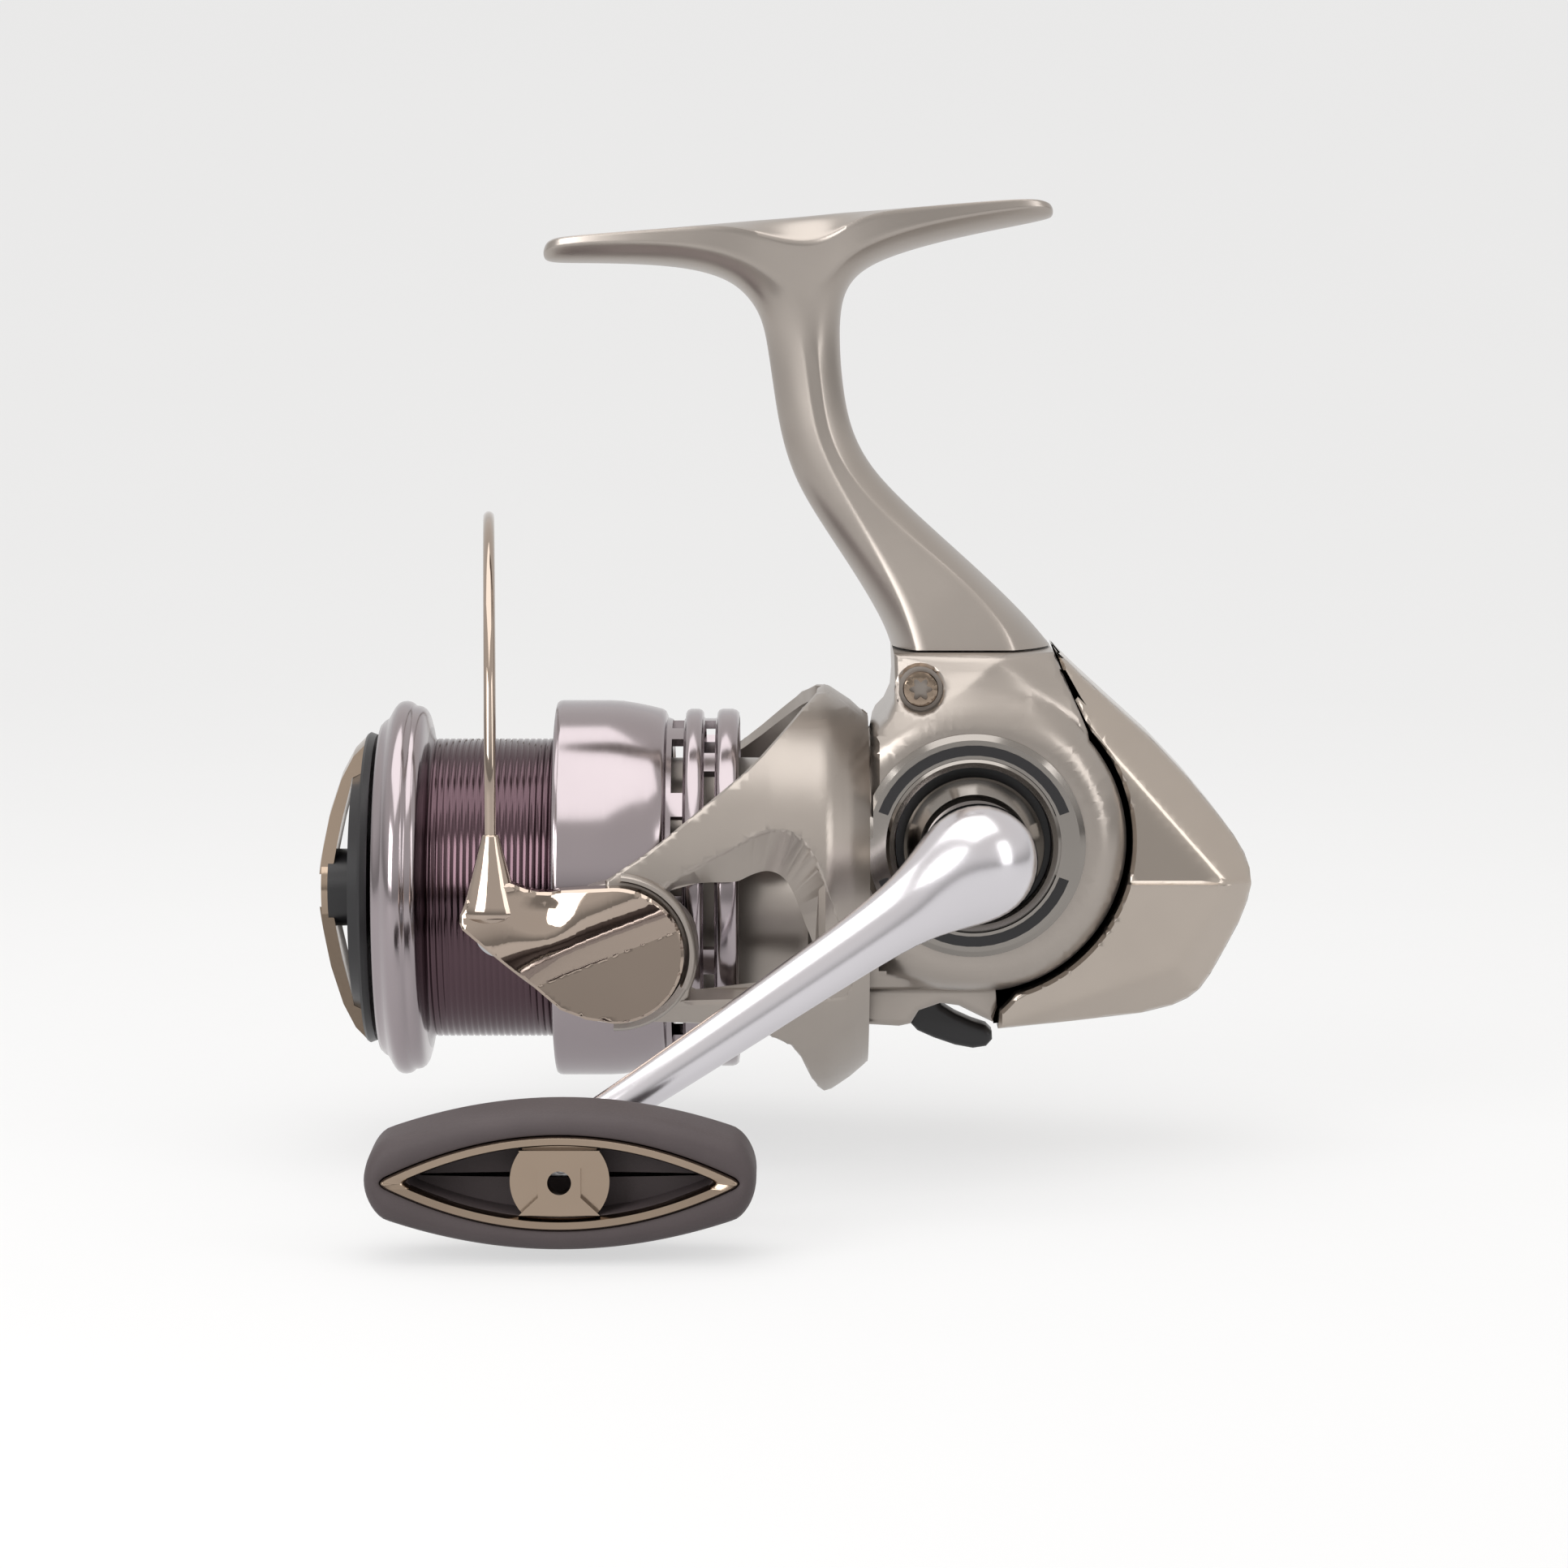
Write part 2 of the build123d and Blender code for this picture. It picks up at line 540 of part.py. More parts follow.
# ---------------------------------------------------------------- drag knob
def drag_knob():
    """Arched two-arm grip across the front of the knob."""
    outer = [(-72.9, 18.7), (-74.4, 17.2), (-75.9, 14.4), (-77.4, 10.0), (-78.4, 5.6), (-78.8, 3.6)]
    inner = [(-78.0, 3.6), (-77.0, 4.8), (-76.0, 9.2), (-74.8, 13.6), (-74.6, 14.6), (-73.0, 15.4)]
    arch = revolve(Polygon(*(outer + inner), align=None), Axis.X)
    plan = Polygon((3.2, 2.0), (5.2, 19.2), (-5.2, 19.2), (-3.2, 2.0), align=None)
    wedge = Pos(-85, 0, 0) * extrude(Plane.YZ * plan, 20, dir=(1, 0, 0))
    arms = (arch & (wedge + Rot(180, 0, 0) * wedge)) - drag_hub() - drag_knob_base()
    bridge = tube_x(4.4, 1.4, -78.5, -77.7)
    return arms + bridge


def drag_knob_base():
    """Dark base of the knob, with its dished front."""
    points = [(-71.9, 6.0), (-71.9, 18.6), (-72.7, 18.9), (-73.0, 18.7), (-73.0, 15.4), (-74.5, 14.6), (-74.5, 6.0)]
    return turned_x(points)


def drag_hub():
    """Round centre post that the arms meet, hollow for the spring and nut."""
    outer = rod_x(4.7, -77.7, -74.5) + rod_x(6.0, -74.5, -66.8)
    return outer - rod_x(3.8, -77.0, -60.0) - rod_x(1.0, -90, -70)


def drag_nut():
    """Square-bodied nut on the shaft thread."""
    return tube_x(3.6, SHAFT_R + RUN, -75.9, -73.6)


def drag_spring():
    """Coil spring between nut and washers."""
    helix = Helix(pitch=1.3, height=5.2, radius=2.9)
    wire = sweep(Plane(helix @ 0, z_dir=helix % 0) * Circle(0.35), helix)
    return Pos(-72.9, 0, 0) * Rot(0, 90, 0) * wire


def drag_pressure_plate():
    """Plate that carries the knob's push to the washers."""
    return tube_x(12.6, 2.2, -66.6, -65.5)


# ---------------------------------------------------------------- rotor
def rotor_skin(shift=0.0):
    """Turned shell whose outer face the arms follow, (x, radius)."""
    outer = [(-12.4, 21.2), (-14.4, 23.1), (-16.8, ROTOR_R), (-19.6, 25.3), (-24.0, 26.0), (-31.5, 27.7),
             (-42.0, 30.0), (-52.0, 30.4)]
    inner = [(-52.0, 25.2), (-42.0, 24.8), (-31.5, 24.4), (-24.0, 23.5), (-20.0, 23.3), (-18.6, 22.6),
             (-16.4, 22.2), (-14.6, 21.0), (-12.4, 20.2)]
    return turned_x(outer + inner)


def arm_outline():
    """Side view of one rotor arm, without its window."""
    upper = [(-42.0, 5.4), (-36.5, 8.6), (-31.5, 11.8), (-27.3, 15.4), (-24.0, 18.9), (-21.0, 22.6), (-18.4, 26.0)]
    lower = [(-18.4, -26.0), (-20.0, -21.0), (-21.5, -17.0), (-24.0, -15.0), (-33.5, -13.2), (-42.0, -13.0)]
    return upper + [(-12.0, 26.0), (-12.0, -26.0)] + lower


def arm_window():
    """Opening between the two legs of an arm."""
    return [(-34.6, 1.8), (-29.0, 6.0), (-25.6, 8.4), (-22.8, 9.2), (-20.4, 8.2), (-18.6, 5.4), (-17.4, 0.8),
            (-16.6, -4.0), (-16.2, -9.4), (-18.0, -10.0), (-31.8, -10.0), (-32.6, -6.0), (-33.0, -2.0)]


def rotor_half():
    """Arm on the handle side."""
    shell = rotor_skin() & plate(arm_outline(), -36, 0)
    shell = shell - plate(arm_window(), -36, -10)
    head = rod_y(HEAD_R, -24.0, -30.6, PIVOT_X, PIVOT_Z) - rod_x(23.3, -60, -30)
    recess = rod_y(BAIL_DISC_R + 0.45, -HEAD_FACE_Y, -40, PIVOT_X, PIVOT_Z)
    mouth = plate([(PIVOT_X, 4.6), (-46.0, 8.0), (-60.0, 8.0), (-60.0, -16.0), (-32.0, -16.0), (-32.0, -8.4),
                   (PIVOT_X, PIVOT_Z)], -HEAD_FACE_Y, -40)
    return (shell + head) - recess - mouth


def rotor():
    """Cup, ring and both arms in one casting."""
    cup = [(-40.0, CUP_R - CUP_WALL), (-40.0, CUP_R), (-20.4, CUP_R), (-19.2, 16.8), (-18.4, 22.0), (-17.6, 24.2),
           (-16.8, ROTOR_R), (-14.4, 23.1), (-12.4, 21.2), (-12.4, 20.2), (-16.4, 20.2), (-16.4, CUP_R - CUP_WALL)]
    half = rotor_half()
    solid = turned_x(cup) + tube_x(CUP_R - CUP_WALL + 0.3, 2.9, -33.4, -31.2) + half + mirror(half, Plane.XZ)
    for side in (-1, 1):
        solid = solid - rod_y(1.6, side * 22, side * 40, PIVOT_X, PIVOT_Z)
        solid = solid - rod_y(5.2, side * 20, side * 26.0, PIVOT_X, PIVOT_Z)
    vents = around_x(rod_x(1.5, -34, -30, 10.0, 0), 6)
    return solid - vents


def rotor_nut():
    """Hexagon nut that clamps the rotor on the pinion."""
    nut = Pos(-36.0, 0, 0) * Rot(0, 90, 0) * extrude(RegularPolygon(5.4, 6), 2.6, dir=(0, 0, 1))
    return nut - rod_x(2.9, -50, -20)


def nut_retainer():
    """Plate that keeps the nut from turning, with its small screw."""
    ring = tube_x(9.0, 5.5, -34.3, -33.4)
    return ring


def clutch_sleeve():
    """Hardened sleeve on the pinion that the clutch rollers grip."""
    return tube_x(5.1, 2.9, -25.2, -20.0)


def arm_cap(side):
    """Cover in the round well on the inside of an arm head."""
    cap = rod_y(5.1, side * 24.2, side * 24.9, PIVOT_X, PIVOT_Z)
    return cap & tube_x(40, 23.6, -60, -20)


def pivot_screws():
    """One shouldered screw through each bail pivot."""
    screws = []
    for side in (-1, 1):
        shoulder = rod_y(2.0, side * HEAD_FACE_Y, side * (DISC_FACE_Y - 0.9), PIVOT_X, PIVOT_Z)
        thread = rod_y(1.55, side * 26.2, side * HEAD_FACE_Y, PIVOT_X, PIVOT_Z)
        screws.append((shoulder + thread).solid())
    return Compound(screws)


def bail_spring():
    """Torsion spring in the well of the near arm head."""
    return tube_y(4.6, 2.4, -25.95, -25.1, PIVOT_X, PIVOT_Z)


# ---------------------------------------------------------------- bail
def bail_arm():
    """Polished arm: round pivot disc, swept blade and the cone that holds the wire."""
    disc = rod_y(BAIL_DISC_R, -HEAD_FACE_Y - 0.1, -DISC_FACE_Y, PIVOT_X, PIVOT_Z)
    blade_points = [(-42.6, 4.0), (-47.6, 3.4), (-51.6, 2.6), (-54.4, 3.0), (-58.8, 1.6), (-59.8, -0.6),
                    (-57.6, -3.2), (-48.4, -10.0), (-44.0, -11.2), (-40.0, -6.0), (-40.0, 0.0)]
    blade = plate(blade_points, -29.0, -DISC_FACE_Y - 0.6)
    x, z = NEAR_FOOT_X, WIRE_FOOT_Z
    stations = [((x, -WIRE_FOOT_Y - 0.2, z), WIRE_R + 0.3, WIRE_R + 0.3),
                ((x - 0.1, -29.9, z - 3.6), 1.75, 1.5),
                ((x - 0.1, -30.5, z - 7.4), 2.9, 1.8)]
    cone = loft([Pos(*centre) * Ellipse(a, b) for centre, a, b in stations])
    solid = disc + blade + cone
    bore = rod_y(2.0 + RUN, -20, -DISC_FACE_Y + 0.9, PIVOT_X, PIVOT_Z)
    face = tube_x(40, 23.4, -70, -30)
    return (solid & face) - bore - rod_y(1.0, -20, -40, ROLLER_X, ROLLER_Z)


def wire_plane():
    """Plane of the wire loop: its X runs to the far side and its Y runs up."""
    skew = radians(WIRE_SKEW)
    return Plane(origin=(WIRE_X, 0, WIRE_FOOT_Z), x_dir=(-sin(skew), cos(skew), 0), z_dir=(cos(skew), sin(skew), 0))


def bail_wire():
    """Half-round loop of wire from the near cone to the far holder."""
    top = WIRE_TOP_Z - WIRE_R - WIRE_FOOT_Z
    leg = top - WIRE_LOOP_R
    near = Line((-WIRE_LOOP_R, 0), (-WIRE_LOOP_R, leg))
    arc = ThreePointArc((-WIRE_LOOP_R, leg), (0, top), (WIRE_LOOP_R, leg))
    far = Line((WIRE_LOOP_R, leg), (WIRE_LOOP_R, 0))
    path = wire_plane() * (near + arc + far)
    start = path @ 0
    return sweep(Plane(start, z_dir=path % 0) * Circle(WIRE_R), path)


def bail_holder():
    """Arm on the far side, with the socket for the other end of the wire."""
    disc = rod_y(BAIL_DISC_R, HEAD_FACE_Y + 0.1, DISC_FACE_Y, PIVOT_X, PIVOT_Z)
    blade_points = [(-42.6, 4.0), (-47.6, 3.6), (-53.6, 4.2), (-59.0, 5.4), (-61.4, 4.4), (-61.4, 2.0),
                    (-56.0, -3.6), (-48.4, -9.0), (-44.0, -11.0), (-40.0, -6.0), (-40.0, 0.0)]
    blade = plate(blade_points, 29.0, DISC_FACE_Y + 0.2)
    socket = Pos(FAR_FOOT_X, WIRE_FOOT_Y + 0.3, WIRE_FOOT_Z - 3.2) * Cone(2.0, 1.2, 6.4)
    bore = rod_y(2.0 + RUN, 20, DISC_FACE_Y - 0.9, PIVOT_X, PIVOT_Z)
    face = tube_x(40, 23.4, -70, -30)
    return ((disc + blade + socket) & face) - bore


def line_roller():
    """Grooved roller that the line runs over, inside the bail arm."""
    points = [(-28.7, 1.6), (-28.7, 3.3), (-28.2, 3.3), (-27.4, 2.7), (-26.2, 2.6), (-25.4, 3.2), (-25.1, 3.2),
              (-25.1, 1.6)]
    return turned_y(points, ROLLER_X, ROLLER_Z)


def roller_bush():
    """Bush that the roller turns on."""
    return tube_y(1.6 - RUN, 1.0, -28.9, -24.9, ROLLER_X, ROLLER_Z)


def roller_screw():
    """Screw that clamps bush and roller to the arm."""
    return rod_y(1.0, -31.8, -24.9, ROLLER_X, ROLLER_Z) + rod_y(2.3, -24.9, -24.2, ROLLER_X, ROLLER_Z)


# ---------------------------------------------------------------- handle
def arm_point(along, y):
    """Point on the arm's centre line, a distance along it from the drive axis."""
    a = radians(HANDLE_DIP)
    return (-along * cos(a), y, DRIVE_Z - along * sin(a))


def handle_arm():
    """Dome on the drive axis and the tapered arm that sweeps outward from it."""
    dome = Pos(0, DOME_Y, DRIVE_Z) * Sphere(DOME_R)
    neck = turned_y([(-33.0, 0), (-33.0, DOME_R - 0.1), (-28.6, 6.0), (-26.0, 5.4), (-24.2, 5.4), (-24.2, 0)])
    stations = [(0.0, -33.4, 5.4, 5.6), (9.0, -36.4, 3.9, 3.9), (20.0, -40.4, 3.1, 2.9), (34.0, -45.4, 2.7, 2.5),
                (46.0, -48.8, 2.3, 2.2), (56.0, ARM_END_Y, 2.1, 2.0)]
    a = radians(HANDLE_DIP)
    sections = []
    for along, y, wide, thick in stations:
        plane = Plane(origin=arm_point(along, y), x_dir=(-sin(a), 0, cos(a)), z_dir=(-cos(a), 0, -sin(a)))
        sections.append(plane * Ellipse(wide, thick))
    arm = loft(sections)
    end = rod_y(3.4, ARM_END_Y + 1.9, ARM_END_Y - 2.2, KNOB_X, KNOB_Z)
    return dome + neck + arm + end - rod_y(1.9, -80, ARM_END_Y - 0.4, KNOB_X, KNOB_Z) - rod_y(2.1, -30.0, 0)


def handle_shaft():
    """Screw-in spindle of the handle, inside the drive shaft."""
    return rod_y(2.1, -30.0, 12.0)


def handle_collar():
    """Flared dark collar between the handle and the cap ring."""
    return turned_y([(-15.3, 2.2), (-15.3, 7.6), (-17.2, 8.4), (-18.6, 8.3), (-21.6, 6.6), (-24.2, 6.2), (-24.2, 2.2)])


def shaft_cap():
    """Knurled screw cap over the open end of the drive shaft."""
    cap = turned_y([(15.3, 0), (15.3, 7.9), (18.6, 7.9), (19.6, 7.0), (19.9, 0)])
    flutes = [Pos(0, 0, DRIVE_Z) * Rot(0, 20.0 * i, 0) * rod_y(0.5, 14, 22, 8.1, 0) for i in range(18)]
    return cap - flutes


def knob_lens(length, height, end):
    """Pointed-oval outline with blunt ends, centred on the knob."""
    half, rise = length / 2, height / 2
    x, z = KNOB_X, KNOB_Z - KNOB_DROP
    top = ThreePointArc((x - half, z + end), (x, z + rise), (x + half, z + end))
    right = Line((x + half, z + end), (x + half, z - end))
    low = ThreePointArc((x + half, z - end), (x, z - rise), (x - half, z - end))
    left = Line((x - half, z - end), (x - half, z + end))
    return make_face(top + right + low + left)


def knob_body():
    """Soft T-shaped grip with a neck, a front recess and a bearing bore."""
    bar = side_face(knob_lens(KNOB_LENGTH, KNOB_HEIGHT, 3.6), KNOB_FACE_Y, KNOB_BACK_Y)
    bar = chamfer(bar.edges().filter_by(lambda e: abs(e.center().Y - KNOB_BACK_Y) < 0.01), 2.2)
    bar = chamfer(bar.edges().filter_by(lambda e: abs(e.center().Y - KNOB_FACE_Y) < 0.01), 1.2)
    flare = loft([Pos(KNOB_X, y, z) * Rot(90, 0, 0) * Ellipse(a, b)
                  for y, z, a, b in ((-53.0, KNOB_Z, 5.1, 5.1), (-57.0, KNOB_Z, 5.3, 4.9),
                                     (KNOB_BACK_Y - 0.6, KNOB_Z - KNOB_DROP, 10.5, 5.4))])
    recess = side_face(knob_lens(39.0, 10.6, 0.3), KNOB_FACE_Y - 1, KNOB_FACE_Y + 1.0)
    well = side_face(knob_lens(31.5, 7.2, 0.5), KNOB_FACE_Y - 1, KNOB_FACE_Y + 5.5)
    centre = rod_y(5.6, KNOB_FACE_Y - 1, KNOB_FACE_Y + 5.5, KNOB_X, KNOB_Z - KNOB_DROP)
    bore = rod_y(3.4, -80, -50, KNOB_X, KNOB_Z)
    return bar + flare - recess - well - centre - bore


def knob_trim():
    """Bright eye-shaped frame let into the face of the knob."""
    outer = side_face(knob_lens(38.8, 10.4, 0.3), KNOB_FACE_Y - 0.3, KNOB_FACE_Y + 1.0)
    inner = side_face(knob_lens(33.0, 8.0, 0.3), KNOB_FACE_Y - 2, KNOB_FACE_Y + 3)
    return outer - inner


def knob_bridge():
    """Waisted bridge across the middle of the knob's well, with the screw hole."""
    x, z = KNOB_X, KNOB_Z - KNOB_DROP
    half = [(4.4, 3.55), (2.3, 1.6), (2.3, -1.6), (4.4, -3.55)]
    points = [(x + a, z + b) for a, b in half] + [(x - a, z - b) for a, b in half]
    waist = plate(points, KNOB_FACE_Y + 0.2, KNOB_FACE_Y + 1.4)
    disc = rod_y(5.4, KNOB_FACE_Y + 1.4, KNOB_FACE_Y + 2.6, x, z)
    return waist + disc - rod_y(1.3, -90, -60, x, z)


def knob_bushings():
    """Two bushes that the knob turns on."""
    inner = tube_y(3.4, 2.0 + RUN, -53.0, -56.4, KNOB_X, KNOB_Z)
    outer = tube_y(3.4, 2.0 + RUN, -66.6, -63.0, KNOB_X, KNOB_Z)
    return Compound([inner.solid(), outer.solid()])


def knob_shaft():
    """Fixed spindle pressed into the end of the arm, with its retaining head."""
    pin = rod_y(2.0, -67.0, ARM_END_Y - 2.2, KNOB_X, KNOB_Z)
    head = rod_y(2.8, -68.0, -67.0, KNOB_X, KNOB_Z) - rod_y(0.8, -70, -67.5, KNOB_X, KNOB_Z)
    return pin + head + rod_y(1.9, ARM_END_Y - 2.2, ARM_END_Y - 0.4, KNOB_X, KNOB_Z)


# ---------------------------------------------------------------- anti-reverse lever
def anti_reverse_lever():
    """Switch lever under the housing, swinging about a pin along X."""
    pin = rod_x(1.15, -9.8, -2.8, 0, LEVER_PIVOT_Z)
    stalk = box(-7.4, -4.4, -2.0, 2.0, -17.2, -11.0)
    tab = plate([(-7.4, -16.5), (-4.4, -16.5), (0.6, -17.0), (2.8, -17.6), (3.0, -18.6), (1.6, -19.6), (-0.6, -19.5),
                 (-4.6, -18.3), (-7.4, -17.2)], -2.4, 2.4)
    return pin + stalk + tab


# ---------------------------------------------------------------- write every piece
def main():
    os.makedirs("parts", exist_ok=True)
    block = housing_block()
    shell = casing(block)
    pieces = {
        "body_frame": body_frame(shell),
        "side_cover": side_cover(shell),
        "rear_cover": rear_cover(block),
        "cover_screws": screw_group(),
        "cap_ring_near": cap_ring(-1),
        "cap_ring_far": cap_ring(1),
        "cap_ring_inlays": Compound([piece.solid() for piece in inlay_pair()]),
        "drive_bearing_near": ball_bearing_y(5.5, DRIVE_SHAFT_R + RUN, -14.4, -11.6),
        "drive_bearing_far": ball_bearing_y(5.5, DRIVE_SHAFT_R + RUN, 11.6, 14.4),
        "drive_gear": drive_gear(),
        "drive_shaft": drive_shaft(),
        "oscillation_pinion": oscillation_small(),
        "oscillation_gear": oscillation_gear(),
        "oscillation_axle": oscillation_axle(),
        "pinion": pinion(),
        "pinion_bearing_front": ball_bearing_x(6.5, 3.4 + RUN, -18.8, -15.8),
        "one_way_clutch": one_way_clutch(),
        "clutch_rollers": clutch_rollers(),
        "clutch_sleeve": clutch_sleeve(),
        "clutch_retainer": clutch_retainer(),
        "clutch_screws": clutch_screws(),
        "slider": slider(),
        "slider_screw": slider_screw(),
        "slider_rail": slider_rail(),
        "main_shaft": main_shaft(),
        "click_gear": click_gear(),
        "spool_post": spool_post(),
        "spool": spool(),
        "spool_bushings": spool_bushings(),
        "drag_washers": drag_washers(),
        "drag_clip": drag_clip(),
        "click_spring": click_spring(),
        "drag_knob": drag_knob(),
        "drag_knob_base": drag_knob_base(),
        "drag_hub": drag_hub(),
        "drag_nut": drag_nut(),
        "drag_spring": drag_spring(),
        "drag_pressure_plate": drag_pressure_plate(),
        "rotor": rotor(),
        "rotor_nut": rotor_nut(),
        "nut_retainer": nut_retainer(),
        "arm_caps": Compound([arm_cap(side).solid() for side in (-1, 1)]),
        "bail_pivot_screws": pivot_screws(),
        "bail_spring": bail_spring(),
        "bail_arm": bail_arm(),
        "bail_wire": bail_wire(),
        "bail_holder": bail_holder(),
        "line_roller": line_roller(),
        "roller_bush": roller_bush(),
        "roller_screw": roller_screw(),
        "handle_arm": handle_arm(),
        "handle_shaft": handle_shaft(),
        "handle_collar": handle_collar(),
        "shaft_cap": shaft_cap(),
        "knob_body": knob_body(),
        "knob_trim": knob_trim(),
        "knob_bridge": knob_bridge(),
        "knob_spindle": knob_shaft(),
        "knob_bushings": knob_bushings(),
        "anti_reverse_lever": anti_reverse_lever(),
    }
    for node, shape in pieces.items():
        save(node, shape)


if __name__ == "__main__":
    main()
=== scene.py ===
"""Spinning reel: finished outer pieces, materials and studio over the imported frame.

Shapes are drawn in millimetres about the reel's working axes, as the CAD source is:
the spool axis is X with the front at -X, the handle side is -Y and the rod is at +Z.
place() moves them to the seat frame in metres.
"""
import json
from math import asin, atan2, cos, degrees, exp, hypot, pi, radians, sin, sqrt

import bmesh
import bpy
from mathutils import Matrix, Vector


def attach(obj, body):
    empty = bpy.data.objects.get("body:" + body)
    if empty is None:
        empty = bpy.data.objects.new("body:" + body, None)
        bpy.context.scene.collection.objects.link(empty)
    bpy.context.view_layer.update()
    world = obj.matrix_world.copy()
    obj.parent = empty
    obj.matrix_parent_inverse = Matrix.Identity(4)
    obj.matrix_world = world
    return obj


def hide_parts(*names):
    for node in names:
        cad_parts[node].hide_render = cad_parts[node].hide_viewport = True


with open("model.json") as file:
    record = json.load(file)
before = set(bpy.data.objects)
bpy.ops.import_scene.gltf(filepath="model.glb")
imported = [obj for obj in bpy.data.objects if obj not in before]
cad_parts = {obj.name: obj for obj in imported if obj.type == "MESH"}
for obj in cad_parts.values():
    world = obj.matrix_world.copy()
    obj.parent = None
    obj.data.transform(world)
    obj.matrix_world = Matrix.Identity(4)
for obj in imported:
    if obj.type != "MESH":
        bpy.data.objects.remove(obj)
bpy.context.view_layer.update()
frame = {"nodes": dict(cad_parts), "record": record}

bl_info = {
    "name": "Spinning reel",
    "version": (1, 0, 0),
    "blender": (4, 5, 0),
    "location": "View3D > Sidebar > Reel",
    "description": "Builds the visible pieces, finishes and studio of a spinning reel",
    "category": "Object",
}

SEAT = Vector((20.8, 0.0, -81.2))    # from the working axes to the middle of the foot's seat, mm
DRIVE_Z = 7.2                        # drive axis above the spool axis, mm
ARBOR_ENDS = (-65.3, -49.9)          # where the spool's dark arbor starts and stops along X, mm


def linear(hex_text):
    """Turn an sRGB hex colour into linear RGB."""
    values = []
    for i in (1, 3, 5):
        v = int(hex_text[i:i + 2], 16) / 255
        values.append(v / 12.92 if v <= 0.04045 else ((v + 0.055) / 1.055) ** 2.4)
    return tuple(values)


# ---------------------------------------------------------------- sizes and colours
def colour_property(name, hex_text, description):
    return bpy.props.FloatVectorProperty(name=name, description=description, subtype="COLOR", size=3,
                                         min=0.0, max=1.0, default=linear(hex_text))


def size_property(name, value, description):
    return bpy.props.FloatProperty(name=name, description=description, default=value, min=0.0)


class ReelColours(bpy.types.PropertyGroup):
    """Colours of the reel's finishes."""
    satin: colour_property("Satin paint", "#a39b94", "Champagne grey paint of body, stem and rotor")
    gloss: colour_property("Gloss paint", "#b0a69c", "Glossier champagne paint of the rear cover")
    anodised: colour_property("Spool", "#a0979a", "Purple grey anodising of lip and skirt")
    arbor: colour_property("Arbor", "#55444a", "Darker anodising under the line")
    bronze: colour_property("Bronze plate", "#9c8b7b", "Drag knob arms and knob trim")
    chrome: colour_property("Champagne chrome", "#ab9c90", "Bail arm and wire")
    gunmetal: colour_property("Gunmetal", "#8d8883", "Cap rings and handle collar")
    silver: colour_property("Silver", "#d2cfd3", "Crank arm")
    rubber: colour_property("Knob rubber", "#453d3e", "Soft grip")
    # black also paints the shade under the cover joint, on a black sheet
    black: colour_property("Black plastic", "#19181a", "Lever, hub and inlays")
    steel: colour_property("Steel", "#b9b9bb", "Screws, shaft and bearings")
    brass: colour_property("Brass", "#c9a25a", "Pinion and drag nut")
    zinc: colour_property("Zinc alloy", "#a9a9a7", "Cast gears and slider")
    white: colour_property("White plastic", "#d9d6cd", "Bushings and click gear")
    felt: colour_property("Felt", "#5d564c", "Drag washers")
    floor: colour_property("Floor", "#f2f2f2", "Studio floor and backdrop")


class ReelSizes(bpy.types.PropertyGroup):
    """Sizes of the visible pieces, in millimetres about the working axes."""
    edge: size_property("Edge", 0.45, "Rounding of cast edges, mm")
    # the dark in this joint is painted shade: a black sheet lies beneath it
    gap: size_property("Gap", 0.8, "Dark joint between side cover and rear cover, mm")
    camera_distance: size_property("Camera distance", 620.0, "From the camera to the reel, mm")
    camera_lens: size_property("Lens", 117.04, "Focal length on a 36 mm sensor, mm")
    camera_height: size_property("Camera elevation", 6.4, "Angle above the horizon, degrees")
    floor_drop: size_property("Floor", 31.6, "Floor below the spool axis, mm")


# ---------------------------------------------------------------- materials
def add_node(tree, kind, inputs=None, **settings):
    """Add one node: settings are its options, inputs are values or other nodes' outputs."""
    node = tree.nodes.new(kind)
    for key, value in settings.items():
        setattr(node, key, value)
    for socket, value in (inputs or {}).items():
        if isinstance(value, bpy.types.NodeSocket):
            tree.links.new(value, node.inputs[socket])
        else:
            node.inputs[socket].default_value = value
    return node


def rgba(colour, factor=1.0):
    return (min(colour[0] * factor, 1.0), min(colour[1] * factor, 1.0), min(colour[2] * factor, 1.0), 1.0)


def new_finish(name, metallic, shader_values=None):
    """Start a material: returns it with its tree, shader and a position in working millimetres."""
    material = bpy.data.materials.new(name)
    material.use_nodes = True
    tree = material.node_tree
    tree.nodes.clear()
    values = {"Metallic": metallic, "Roughness": 0.4}
    values.update(shader_values or {})
    shader = add_node(tree, "ShaderNodeBsdfPrincipled", values)
    add_node(tree, "ShaderNodeOutputMaterial", {"Surface": shader.outputs[0]})
    coords = add_node(tree, "ShaderNodeTexCoord")
    place_mm = add_node(tree, "ShaderNodeMapping", {"Vector": coords.outputs["Object"], "Location": -SEAT,
                                                    "Scale": (1000.0, 1000.0, 1000.0)})
    return material, tree, shader, place_mm.outputs[0]


